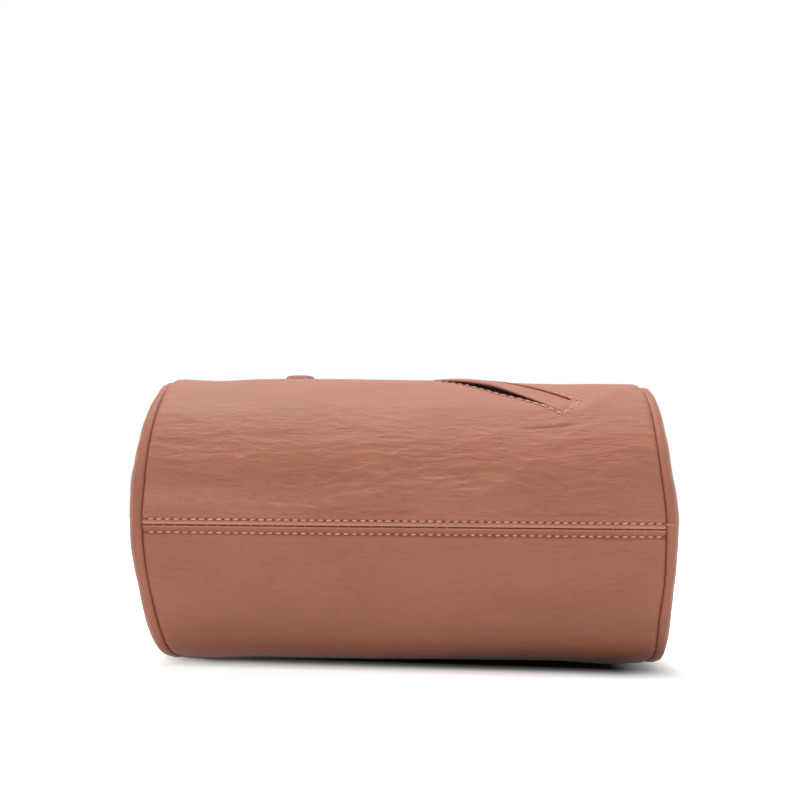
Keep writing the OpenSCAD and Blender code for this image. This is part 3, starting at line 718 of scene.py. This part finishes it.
# Rows of the pocket's patch, part by part: (place across it, height, painted shade)
POCKET_ROWS = (
    # upper edge, with its stitched valley and the joint with the welt; places are q
    [(q, 0.0, 0.0) for q in np.linspace(Q_FIRST, -0.9, 14)]
    + [(-0.5, -0.12, 0.1), (0.0, -0.32, 0.2), (0.5, -0.05, 0.1), (1.0, 0.18, 0.0), (1.35, 0.2, 0.1),
       (1.6, -0.1, 0.5), (1.75, -0.5, 1.0), (1.9, -0.75, 1.0), (2.2, -0.65, 0.6), (2.8, -0.4, 0.0)],
    # welt; places are shares of its width
    [(k / 10, -0.4 + 1.4 * math.sin(math.pi / 2 * (k / 10) ** 0.7)
      * (1 - 0.35 * float(smooth(k / 4 - 1.5))), 0.0) for k in range(1, 11)],
    # the welt's lip, turned into the mouth; places from the lip on
    [(0.3, 0.3, 0.0), (0.5, 0.0, 0.1), (0.48, -0.35, 0.35), (0.2, -0.7, 0.9), (-0.5, -1.1, 1.6),
     (-1.6, -1.7, 2.0), (-1.0, -3.0, 2.0)],
    # lower edge, from inside the mouth over its stitched valley; places from the lower edge on
    [(-0.6, -3.1, 2.0), (-0.5, -2.2, 2.0), (-0.35, -1.1, 1.2), (-0.1, -0.35, 0.35),
     (0.25, 0.1, 0.0), (0.5, 0.12, 0.0), (0.8, -0.02, 0.1), (1.1, -0.35, 0.2), (1.45, -0.12, 0.1),
     (2.3, 0.08, 0.0)],
    # the cloth below; places are shares of what is left
    [(k / 11, 0.0, 0.0) for k in range(1, 12)])


def pocket():
    """The pocket's patch of cloth: upper edge, welt, open mouth and lower edge in one piece."""
    p = spaced(-8.0, P_LEN + 8.0, 0.6, [(0, 5, 0.35), (P_LEN, 5, 0.35)])
    inside = window(p, 0.6, 3.5, P_LEN - 0.6, 3.5)
    gape, low = mouth_gape(p), mouth_low(p)
    lip = low - 0.35 - 6.65 * gape
    mid = (lip + low) / 2
    ajar = smooth(gape * 4)
    grid = []
    for part, rows in enumerate(POCKET_ROWS):
        for a, h, d in rows:
            rise = h + 0 * p
            shade = smooth(p - 3.5, 2) * (1 - 0.85 * smooth(p - 22, 18))
            if part == 0:
                q = a + 0 * p
                rise = h * smooth(p - 3.5, 2.5)
            elif part == 1:
                q = WELT_Q + (lip - WELT_Q) * a
                rise = -0.4 + (h + 0.4) * (0.35 + 0.75 * gape)
            elif part < 4:
                upper = part == 2
                q = np.minimum(lip + a, mid - 0.02) if upper else np.maximum(low + a, mid + 0.02)
                shade = 0.1 + 0.9 * ajar
                if upper or h < -0.2:
                    least = 0.2 if h > 0 else 0.05
                    rise = h * (least + (1 - least) * ajar)
            else:
                q = low + 2.3 + (Q_LAST - low - 2.3) * a
            grid.append((q, rise, d * shade))
    # everything fades out past the mouth's ends
    Q, H, D = np.array(grid).transpose(1, 0, 2)
    plain = np.maximum.accumulate(Q[:, np.argmax(inside > 0.999)])[:, None]
    Q = plain + (Q - plain) * inside
    X, PHI = pocket_xy(p, Q)
    rise, dark = skin(X, PHI)
    calm = 1 - 0.85 * smooth(Q + 1, 2) * smooth(lip + 1 - Q) * inside
    sag = mouth_sag(p, Q)
    sag += 0.15 * smooth(Q + 4, 5) * (Q < mid) * smooth(p - 45, 20) * inside
    total = rise * calm + H * inside + sag * smooth(Q_LAST - Q, 7) + 0.05
    edge = np.minimum(np.minimum(p + 8, P_LEN + 8 - p), np.minimum(Q - Q_FIRST, Q_LAST - Q))
    total -= 0.25 * (1 - smooth(edge / 1.5))
    # the rows' painted shade, darkest inside the open mouth, is added to the cloth's own painted
    # shade
    obj = make("pocket_cloth", place(X, PHI, total), quads(*Q.shape), SHELL,
               dark=np.clip(dark + D * inside, -1, 2), crinkle=crinkle(X, PHI) * calm)
    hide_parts("pocket_welt")


pocket()

# ---- stitches

REACH = 0.8  # how far each way a row's direction is measured


def stitch_row(name, path, out, pitch=PITCH, radius=0.37, share=0.72, slant=11.0,
               material=THREAD, holes=True, body="bag"):
    """Separate stitches along a path (mm), each one diving into the cloth at both ends."""
    out = np.broadcast_to(out, path.shape)
    length = run_length(path)
    count = max(1, int(round(length[-1] / pitch)))
    step = length[-1] / count

    def sample(line, at):
        return np.stack([np.interp(at, length, line[:, k]) for k in range(3)], -1)

    def direction(at):
        return unit(sample(path, np.minimum(at + REACH, length[-1]))
                    - sample(path, np.maximum(at - REACH, 0)))

    at = (np.arange(count) + 0.5) * step
    along = direction(at)
    normal = square_to(sample(out, at), along)
    side = np.cross(normal, along)
    angle = ((slant + rng.normal(0, 2.5, count)) * RAD)[:, None]
    along, side = (along * np.cos(angle) + side * np.sin(angle),
                   side * np.cos(angle) - along * np.sin(angle))
    u = np.array([-1, -0.93, -0.75, -0.4, 0, 0.4, 0.75, 0.93, 1.0])
    fat = radius * np.array([0.25, 0.7, 0.95, 1.0, 1.0, 1.0, 0.95, 0.7, 0.25])[:, None]
    drop = (-1.7 * radius * np.abs(u) ** 4 + 0.55 * radius)[:, None]
    ring = np.linspace(0, TURN, 8, endpoint=False)
    n, m = len(u), len(ring)
    half = step * share / 2 * (1 + rng.normal(0, 0.03, count))
    grid = (half[:, None, None] * u[:, None] * np.ones(m), fat * np.cos(ring),
            drop + fat * np.sin(ring) * 0.85)
    points = sample(path, at)[:, None, None] + sum(
        axis[:, None, None] * part[..., None] for axis, part in zip((along, side, normal), grid))
    make(name, points, copies(tube(n, m), count, n * m), material, body=body)
    if not holes:
        return
    # a needle hole between the stitches: three rings of a small dent, coloured dark as painted
    # shade
    spot = np.arange(count + 1) * step
    up, along = sample(out, spot), direction(spot)
    side = np.cross(up, along)
    centre = sample(path, spot) - up * 0.12
    m = 10
    ring = np.linspace(0, TURN, m, endpoint=False)[:, None]
    points = np.stack([centre[:, None] + along[:, None] * (0.55 * size * np.cos(ring))
                       + side[:, None] * (0.42 * size * np.sin(ring)) + up[:, None] * h
                       for size, h in ((1.0, -0.1), (0.8, 0.12), (0.35, 0.2))], 1)
    faces = quads(3, m, around=True).tolist() + [list(range(2 * m, 3 * m))]
    make(name + "_holes", points, copies(faces, count + 1, 3 * m), HOLE, body=body)


def surface_row(name, x, phi, rise, **more):
    """Stitches that follow the barrel's cloth."""
    phi = phi + 0 * x
    stitch_row(name, place(x, phi, skin(x, phi)[0] + rise), outward(phi), **more)


def straight_row(name, start, end, out, **more):
    """Tonal stitches on a straight line."""
    stitch_row(name, np.linspace(start, end, 20), out, material=TONAL, holes=False, **more)


x = np.linspace(-HALF + 2.2, HALF - 1.6, 400)
surface_row("bottom_seam_stitches_upper", x, ROW_UP, 0.12, radius=0.4, share=0.62, slant=7.0)
surface_row("bottom_seam_stitches_lower", x, ROW_LOW, -0.02, radius=0.35, share=0.58, slant=5.0)
# the seam's own thread, seen in the joint where the cloth gathers
for word, start, end in (("left", -117.5, 22.0), ("right", 93.0, 117.5)):
    x = np.linspace(start, end, 200)
    crest = skin(x, SEAM - 0.5 / R)[0] - skin(x, SEAM)[0]
    surface_row("bottom_seam_joint_thread_" + word, x, SEAM, crest - 0.3, pitch=4.9, radius=0.32,
                share=0.2, slant=0.0, material=TONAL, holes=False)


def pocket_row(name, p, q, lift=0.1):
    """Stitches on the pocket's patch."""
    surface_row(name, *pocket_xy(p, q), mouth_sag(p, q) - 0.2 + lift, pitch=4.3, radius=0.5,
                share=0.64)


p = np.linspace(0.0, P_LEN, 160)
pocket_row("pocket_stitches_lower", p, mouth_low(p) + 1.1, 0.25)
pocket_row("pocket_stitches_upper", p, 0 * p, 0.3)
q = np.linspace(0.6, 14.2, 20)
pocket_row("pocket_stitches_right", 0 * q, q)
pocket_row("pocket_stitches_left", P_LEN + 0 * q, q)

# ---- keeper loop

LOOP_X = -54.8
a = np.linspace(3.5, 40.5, 90)
lift = 0.4 + 2.35 * window(a, 3.5, 3.5, 40.5, 3.5)
path = place(LOOP_X, -a * RAD, lift + 0.4 * field(31, -a * RAD * R / 12))
loop = sweep("keeper_loop_cloth", path, (1, 0, 0), band(14.4, 1.5, 16, sag=0.9), LOOP)
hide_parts("keeper_loop")
for word, at in (("front", (4.6, 5.9)), ("back", (38.1, 39.4))):
    for k, deg in enumerate(at):
        q = np.linspace(-6.2, 6.2, 20)
        seat = np.interp(deg, a, lift) + 0.72
        path = place(LOOP_X + q, -deg * RAD, seat - 0.9 * (q / 7.2) ** 4)
        stitch_row("keeper_stitches_%s_%d" % (word, k), path, outward(-deg * RAD), pitch=2.8,
                   radius=0.27, material=TONAL, holes=False)

# thread end left loose on the right rim
u = np.linspace(0, 1, 24)
r = 72.3 - 26 * u ** 0.9
x = 119.2 + dome_rise(r) + 0.35 + 0.5 * np.sin(math.pi * u)
a = (89.6 + 1.2 * np.sin(math.pi * np.minimum(1.4 * u, 1)) - 1.0 * u) * RAD
z = r * np.cos(a)
path = xyz(x + lean(x, z), -r * np.sin(a), z + AXIS)
sweep("loose_thread_end", path, (0, 0, 1), band(0.46, 0.42, 4), THREAD, scale=1 - 0.35 * u)

# ---- padding and lining


def foam(name, start, end, node):
    x = join([[-119.4], np.linspace(-118, 118, 110), [119.4]])
    X, PHI = np.meshgrid(x, np.linspace(start, end, 150) * RAD)
    p, q = pocket_pq(X, PHI)
    mouth = window(p, -4, 4, P_LEN + 4, 4) * window(q, 0, 3, 23, 4)
    outer = np.clip(skin(X, PHI)[0], -3, 0.2) - 2.3 + 0.1 * noise(outward(PHI, X, R) / 9, 41)
    outer += (-4.55 - outer) * mouth
    pouch = window(X, -27, 3, 95, 3) * window(PHI / RAD, -34, 2.5, 63, 2.5)
    inner = (-6.1 + 1.3 * pouch) * base_radius(PHI) / R
    obj = sheet_shell(name, place(X, PHI, outer), place(X, PHI, inner), FOAM, slot="foam")
    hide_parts(node)


foam("front_foam_pad", -90 + 11.0, 89.9, "front_foam")
foam("back_foam_pad", 90.1, 270 - 11.0, "back_foam")


def dome_shell(name, side, r_out, h_out, r_in, h_in, material, node, slot, rough=0.3):
    """A thin domed disc between two ellipses of revolution at one end."""
    share = join([np.linspace(1, 0.94, 8), np.linspace(0.92, 0.03, 34)])
    S, PHI = np.meshgrid(share, np.linspace(0, TURN, 161), indexing="ij")
    out = []
    for r, h, seed in ((r_out, h_out, 51), (r_in, h_in, 52)):
        rad = S * r * base_radius(PHI) / R
        wave = field(seed, S * 60 / 13, rad * np.cos(PHI) / 13, rad * np.sin(PHI) / 13)
        off = 0.15 + h * np.sqrt(np.clip(1 - S ** 2, 0, 1)) + rough * wave * smooth((1 - S) * 8)
        out.append(end_point(side, rad, PHI, off))
    obj = sheet_shell(name, *out, material, slot=slot)
    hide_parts(node)
    return obj


for side, word in SIDES:
    dome_shell(word + "_end_foam_pad", side, 68.2, DOME - 3.0, 65.9, 8.9, FOAM,
                         word + "_end_foam", "foam")
    dome_shell(word + "_end_lining_cloth", side, 65.5, 8.5, 65.0, 8.0, LINING, word + "_end_lining",
               "lining_fabric", 0.15)
    a = np.linspace(-90 + 12.2, 270 - 12.2, 240) * RAD
    path = place(side * (HALF - 1.3), a, -10.1 * base_radius(a) / R)
    tape = sweep(word + "_seam_binding_tape", path, outward(a), band(5.8, 2.1, 10), BIND,
                 slot="binding_tape")
    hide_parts(word + "_seam_binding")

# lining tube: round the inside, with an edge turned out to each zip tape
edge = math.asin(12.7 / 65.3)
x = np.linspace(-119.7, 119.7, 120)
X, A = np.meshgrid(x, np.linspace(BACK + edge, BACK + TURN - edge, 200))
wave = 0.22 * noise(outward(A, X, R) / np.array([30, 9, 9]), 61)


def lining_side(inset, z):
    """One face of the tube, inset from the barrel, with its turned edges at heights z and -z."""
    y = np.linspace(64.0, 67.7, 6)[:, None]
    edges = [xyz(x, y, up * z + AXIS) for up in (1, -1)]
    wall = place(X, A, (wave - inset) * base_radius(A) / R)
    return join([edges[0][::-1], wall, edges[1]])


lining = sheet_shell("body_lining_cloth", lining_side(6.5, 13.0), lining_side(7.0, 12.5), LINING,
                     slot="lining_fabric")
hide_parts("body_lining")

X, A = np.meshgrid(np.linspace(-24.5, 92.5, 80), np.linspace(-31.5, 60.4, 80) * RAD)
deep = np.minimum(A + 31.5 * RAD, 60.4 * RAD - A) * R
deep = np.minimum(np.minimum(X + 24.5, 92.5 - X), deep) / 8
puff = np.sqrt(np.clip(1 - (1 - np.clip(deep, 0, 1)) ** 2, 0, 1))
wrinkle = 0.12 * puff * noise(outward(A, X, R) / np.array([11, 8, 8]), 62)
pouch = sheet_shell("pocket_pouch_cloth", place(X, A, -5.6 + 0.5 * puff + wrinkle),
                    place(X, A, -5.7 + wrinkle), LINING, slot="lining_fabric")
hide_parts("pocket_pouch")

# ---- zip

TAPE_TOP, TAPE_LOW = 68.69, 67.89
TEETH_TOP, TEETH_LOW = 69.69, 66.89
TOOTH = 3.4  # from tooth to tooth
TEETH_START, TEETH_END = -96.0, 92.7
x = np.linspace(-HALF + 0.2, HALF - 0.2, 260)
w = np.array([2.95, 3.0, 3.15, 3.4, 3.7, 4.1, 5, 6, 7, 8, 9, 10, 11, 12, 12.8, 13.0])
X, W = np.meshgrid(x, w)
bulge = 0.22 * bell(W - 3.5, 0.45) + np.minimum(1, np.minimum(W - 2.95, 13.0 - W) / 0.25) * 0.12
for side, word in TAPES:
    ripple = 0.05 * field(71, X / 9, W / 5, side)
    grids = [xyz(X, y + ripple, AXIS + side * W)
             for y in (TAPE_TOP - 0.12 + bulge, TAPE_LOW + 0.12 - bulge)]
    tape = sheet_shell("zip_tape_%s_weave" % word, *grids[::-side], TAPE, slot="zip_tape")
    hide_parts("zip_tape_" + word)


def teeth(side, outline):
    """A row of identical teeth: outline is (x, z) points of one tooth for side 1."""
    first = TEETH_START + (TOOTH if side > 0 else TOOTH / 2)
    at = np.arange(first, TEETH_END - TOOTH / 2 + 1e-6, TOOTH)
    outline = np.array(outline, float) * [1, side]
    centre = outline.mean(0)
    rings = []
    for y, k in ((TEETH_LOW, 0.8), (TEETH_LOW + 0.25, 1.0), (TEETH_TOP - 0.35, 1.0),
                 (TEETH_TOP - 0.05, 0.82), (TEETH_TOP, 0.6)):
        ring = centre + (outline - centre) * k
        rings.append(np.c_[ring[:, 0], np.full(len(ring), y), ring[:, 1] + AXIS])
    n, m = len(rings), len(outline)
    points = join([join(rings) + [x0, 0, 0] for x0 in at])
    return points, copies(tube(n, m, flip=side > 0, ends=side), len(at), n * m)


body_outline = [(-0.75, 3.0), (-0.8, 2.3), (-0.51, 1.95), (-0.51, 1.3), (0.51, 1.3), (0.51, 1.95),
                (0.8, 2.3), (0.75, 3.0)]
head_outline = [(-0.51, 1.3), (-0.51, 1.0), (-0.71, 0.1), (-0.71, -0.45), (-0.45, -0.95),
                (0.45, -0.95), (0.71, -0.45), (0.71, 0.1), (0.51, 1.0), (0.51, 1.3)]
for side, word in TAPES:
    obj = make("zip_chain_" + word, *teeth(side, body_outline), BRASS, slot="zip_metal")
    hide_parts("zip_teeth_" + word)
    path = xyz(np.linspace(TEETH_START, TEETH_END, 200), 68.29, AXIS + side * 2.7)
    sweep("zip_chain_cord_" + word, path, (0, 0, 1), band(0.7, 2.0, 4), TAPE, slot="zip_tape")
(points, faces), (more, more_faces) = teeth(1, head_outline), teeth(-1, head_outline)
faces += [[i + len(points) for i in face] for face in more_faces]
heads = make("zip_chain_heads", join([points, more]), faces, BRASS, slot="zip_metal")
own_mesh(heads)

# cloth covers over the zip's ends
COVER_X, COVER_HALF = 99.75, 8.75
x = join([COVER_X + np.array([0, 0.1, 0.4, 0.9, 1.6]), np.linspace(102.5, 119.9, 40)])
X, A = np.meshgrid(x, np.linspace(-1, 1, 41) * COVER_HALF / R)
near = np.minimum(np.minimum(X - COVER_X, 3.0) / 1.6, (COVER_HALF - np.abs(A) * R) / 1.4)
drop = 2.4 * (1 - np.sqrt(1 - np.clip(1 - near, 0, 1) ** 2)) + 0.3 * bell(X - 103.0, 0.5) + 0.35
for side, word in SIDES:
    rise = -drop - 0.2 * field(72, X / 8, A * R / 5, side)
    grids = place(side * X, A + BACK, rise), place(side * X, A + BACK, -3.05)
    cover = sheet_shell(word + "_zip_end_cloth", *grids[::side], LOOP)
    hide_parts(word + "_zip_end_cover")
    a = np.linspace(-7.2, 7.2, 20) / R + BACK
    stitch_row(word + "_zip_end_stitches", place(side * 103.0, a, -0.5), outward(a), pitch=3.0,
               radius=0.32, material=TONAL)

hem = (ZIP_EDGE + HEM) / R
for a, word in ((BACK + hem, "front"), (BACK + TURN - hem, "back")):
    surface_row("zip_hem_stitches_" + word, np.linspace(-HALF + 4, HALF - 4, 300), a, 0.1,
                pitch=3.4, radius=0.36, material=TONAL, holes=False)

# the pull's cloth tab
PULL_Y = 73.6
x = join([[61.2, 61.3, 61.6], np.linspace(62.2, 77.6, 30), [78.2, 78.5, 78.6]])
path = xyz(x, PULL_Y, AXIS)
swell = np.interp(x, [61.2, 61.3, 61.6, 62.2, 66, 75, 77.6, 78.2, 78.5, 78.6],
                  [0.5, 0.72, 0.9, 1.0, 0.97, 1.0, 1.0, 0.9, 0.72, 0.5])
tab = sweep("zip_pull_tab_cloth", path, (0, 0, 1), band(3.95, 2.4, 8), LOOP, scale=swell,
            body="pull")
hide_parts("zip_pull_tab")
for up in (1, -1):
    for z in (-1.15, 1.15):
        y = PULL_Y + up * 1.17
        straight_row("zip_pull_tab_stitches_%d_%d" % (up > 0, z > 0), (62.8, y, AXIS + z),
                     (74.5, y, AXIS + z), (0, up, 0), pitch=2.2, radius=0.2, body="pull")

# ---- ring tabs

wrap = np.linspace(-62, 242, 40) * RAD
legs = [(-1.35, 75.2), (-1.3, 74.0), (-1.3, 72.4), (-1.35, 71.2), (-1.0, 70.4)]
outline = join([np.c_[3.0 * np.cos(wrap), 79 + 3.0 * np.sin(wrap)], legs,
                [(-tab_x, tab_y) for tab_x, tab_y in legs[::-1]]])
ends = np.array([8.5, 9.3, 9.75, 9.95, 10.0])
z = join([-ends[::-1], np.linspace(-7.5, 7.5, 16), ends])[:, None, None]
k = np.interp(np.abs(z), [0, 9.3, 9.75, 9.95, 10.0], [1, 1, 0.96, 0.88, 0.7])
centre = np.array([0, 77.0])
section = centre + (outline - centre) * k
for side, word in SIDES:
    ring = section + 0.12 * field(80 + side, section[..., 0] / 3, section[..., 1] / 3,
                                  z[..., 0] / 4)[..., None]
    points = xyz(side * HALF + ring[..., 0], ring[..., 1], z[..., 0] + AXIS)
    tab = make(word + "_ring_tab_cloth", points, tube(*points.shape[:2]), LOOP)
    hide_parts(word + "_ring_tab")
    for out in (-1, 1):
        for y in (73.6, 75.4):
            x = side * HALF + out * 1.3
            straight_row("%s_ring_tab_stitches_%d_%d" % (word, out > 0, y), (x, y, AXIS - 9),
                         (x, y, AXIS + 9), (out, 0, 0), pitch=2.6, radius=0.3)

# ---- strap

# The webbing lies folded in five runs, seen in the (x, z) plane at STRAP_Y. Each run is at its
# height MID in the middle and spreads to its height FAN at the folds.
STRAP_Y, RUN, SHORT_END = 85.1, 88.0, 23.65
MID = [0.8, 2.65, 4.5, 6.35, 14.25]
FAN = [0.8, 4.1, 7.4, 10.7, 14.0]
FOLD = 1.65  # radius of the folds' bends
EYE_Z, EYE_WRAP = 24.257, 2.1  # the hooks' eyes, and the webbing's turn round them
IN_BEND, OUT_BEND, LOW_BEND = 3.5, 5.0, 6.0
# the adjuster, and the return ply and sewn end that it holds
RETURN_Z, END_LOW, BAR_Z, WRAP, ADJ = 12.4, 8.2, 10.3, 2.1, -30.0


def arc(cx, cz, r, a, b, n=14):
    t = np.linspace(a, b, n) * RAD
    return np.c_[cx + r * np.cos(t), cz + r * np.sin(t)]


def strap_line():
    inner = HALF - EYE_WRAP - IN_BEND
    parts = [[[-inner + SHORT_END, MID[1]]],
             arc(-inner, MID[1] + IN_BEND, IN_BEND, -90, -180),
             arc(-HALF, EYE_Z, EYE_WRAP, 0, 180, 20),
             arc(-HALF - EYE_WRAP + LOW_BEND, MID[0] + LOW_BEND, LOW_BEND, 180, 270)]
    for k in range(5):
        x = np.linspace(-RUN, RUN, 61)
        z = FAN[k] + (MID[k] - FAN[k]) * smooth(RUN - np.abs(x), 30)
        if k == 4:
            z = np.where(x > 0, MID[4], z)
        side = 1 if k % 2 == 0 else -1
        parts.append(np.c_[x, z][::side])
        if k < 4:
            bend = arc(0, (FAN[k] + FAN[k + 1]) / 2, FOLD, -90, 90)[1:-1]
            parts.append((bend + [RUN, 0]) * [side, 1])
    parts += [arc(inner, MID[4] + IN_BEND, IN_BEND, -90, 0), arc(HALF, EYE_Z, EYE_WRAP, 180, 0, 20)]
    return join(parts)


# the webbing's section: flat, with a thin line woven in beside each edge
strap_section = band(19.9, 1.48, 18)
strap_section[:, 1] *= 1 - 0.1 * bell(np.abs(strap_section[:, 0]) - 8.2, 0.5)


def strap_piece(name, line, body="bag"):
    at = run_length(line)
    fine = np.linspace(0, at[-1], int(at[-1] / 0.9) + 2)
    path = xyz(np.interp(fine, at, line[:, 0]), STRAP_Y, np.interp(fine, at, line[:, 1]))
    return sweep(name, path, (0, 1, 0), strap_section, WEB, body=body, slot="webbing")


webbing = strap_piece("strap_webbing_weave", strap_line())
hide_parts("strap_webbing")
corner = arc(HALF + EYE_WRAP - OUT_BEND, RETURN_Z + OUT_BEND, OUT_BEND, 0, -90)
bend_piece = strap_piece("strap_return_bend", join(
    [[[HALF + EYE_WRAP, EYE_Z - 0.2]], corner, [[104.0, RETURN_Z]]]))
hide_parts("strap_return")
flat_piece = strap_piece("strap_return_run", np.array([[104.6, RETURN_Z], [ADJ + 20.1, RETURN_Z]]))
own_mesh(flat_piece)
turn = arc(ADJ, BAR_Z, WRAP, 90, 270, 24)
end_piece = strap_piece("strap_end_fold", join(
    [[[ADJ + 19.9, RETURN_Z]], turn, [[ADJ + 19.9, END_LOW]]]), "adjuster")
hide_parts("strap_end")

# a sewn box with a cross, on the webbing's upper face
corners = [(x, STRAP_Y + y, MID[1] + 0.78)
           for x, y in ((-111.5, -7.6), (-93.5, -7.6), (-93.5, 7.6), (-111.5, 7.6))]
for k, (a, b) in enumerate(((0, 1), (1, 2), (2, 3), (3, 0), (0, 2), (3, 1))):
    straight_row("strap_box_stitches_%d" % k, corners[a], corners[b], (0, 0, 1), pitch=2.6,
                 radius=0.3)

# ---- metal

for node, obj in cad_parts.items():
    if obj.hide_render:
        continue
    steel = "pin" in node or "spring" in node
    obj.data.materials.clear()
    obj.data.materials.append(STEEL if steel else BRASS)
    if not steel:
        bevel = obj.modifiers.new("soft_edges", "BEVEL")
        bevel.width, bevel.segments = 0.18 * MM, 2
        bevel.limit_method, bevel.angle_limit = "ANGLE", 40 * RAD

# the gates' leaf springs, bent between hook and gate; FOOT and TIP are out from the hook's middle
FOOT, TIP, SPRING_Z, SPRING_LEN = 5.75, 5.95, 44.357, 4.3
t = np.linspace(0, 1, 14)
for side, word in SIDES:
    x = side * (HALF + FOOT + (TIP - FOOT) * t + 0.05 * np.sin(math.pi * t))
    path = xyz(x, STRAP_Y, SPRING_Z + SPRING_LEN * t)
    leaf = sweep(word + "_gate_spring_leaf", path, (0, 1, 0), band(1.8, 0.28, 6), STEEL, body=None)
    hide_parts(word + "_gate_spring")
    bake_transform(leaf)

# ---- stage and light

# The floor glows to white where it is seen, less so in a painted contact shadow; painted dark under
# the bag
white = new_material("floor_white")
spot = white.add("SeparateXYZ", {0: white.add("TexCoord").outputs["Object"]}).outputs
slanted = white.plus(spot[1], white.times(spot[0], 0.2))


def near_bag(*ramp):
    """1 on the floor between the bag's ends and near its middle line."""
    off = white.math("ABSOLUTE", white.math("SUBTRACT", spot[0], 0.004))
    return white.times(white.ramp(off, 0.128, 0.096), white.ramp(*ramp))


off_middle = white.math("ABSOLUTE", slanted)
# painted shadow: the floor's colour goes near black under the bag
under = near_bag(off_middle, 0.05, 0.02)
shaded = white.times(near_bag(slanted, -0.07, -0.032), white.ramp(spot[1], 0.2, 0.12))
seen = white.seen()
glow = white.times(seen, white.ramp(shaded, 0.0, 1.0, 0.72, 0.1))
glow = white.times(glow, white.ramp(under, 0.0, 1.0, 1.0, 0.0))
# painted shade: for bounced light the floor is also darker near the bag
below = white.mix(seen, white.times(near_bag(off_middle, 0.072, 0.04), 0.8), under)
white.finish(Base_Color=white.mix(below, (0.84, 0.87, 0.875, 1), (0.03, 0.028, 0.028, 1)),
             Roughness=0.9, Specular_IOR_Level=0.1, Emission_Color=(1, 1, 1, 1),
             Emission_Strength=glow)
data = bpy.data.meshes.new("floor")
data.from_pydata([(x, y, -0.00005) for x, y in ((-6, -4), (6, -4), (6, 8), (-6, 8))], [],
                 [(0, 1, 2, 3)])
data.materials.append(white.data)
floor = add_object("floor", data)

# white where the camera or a reflection sees it; the light itself comes from above
sky = Shader(bpy.data.worlds.new("studio"))
scene.world = sky.data
up = sky.add("SeparateXYZ", {0: sky.add("TexCoord").outputs["Generated"]}).outputs[2]
background = sky.tree.nodes["Background"].inputs
background["Color"].default_value = (1, 1, 1, 1)
sky.put(background["Strength"], sky.math("MAXIMUM", sky.seen(), sky.ramp(up, 0.0, 0.75, 0.1, 0.5)))


def lamp(name, kind, energy, where, aim, **settings):
    light = bpy.data.lights.new(name, kind)
    light.energy = energy
    for key, value in settings.items():
        setattr(light, key, value)
    obj = add_object(name, light)
    obj.location = where
    obj.rotation_euler = (Vector(aim) - Vector(where)).to_track_quat("-Z", "Y").to_euler()


lamp("front_fill", "AREA", 6.9, (0.0, -1.9, 0.13), (0, 0, 0.05), shape="RECTANGLE", size=2.4,
     size_y=0.3)
lamp("overhead", "SUN", 2.7, (-0.14, 0.22, 1), (0, 0, 0), angle=22 * RAD)

scene.view_settings.view_transform = "Standard"
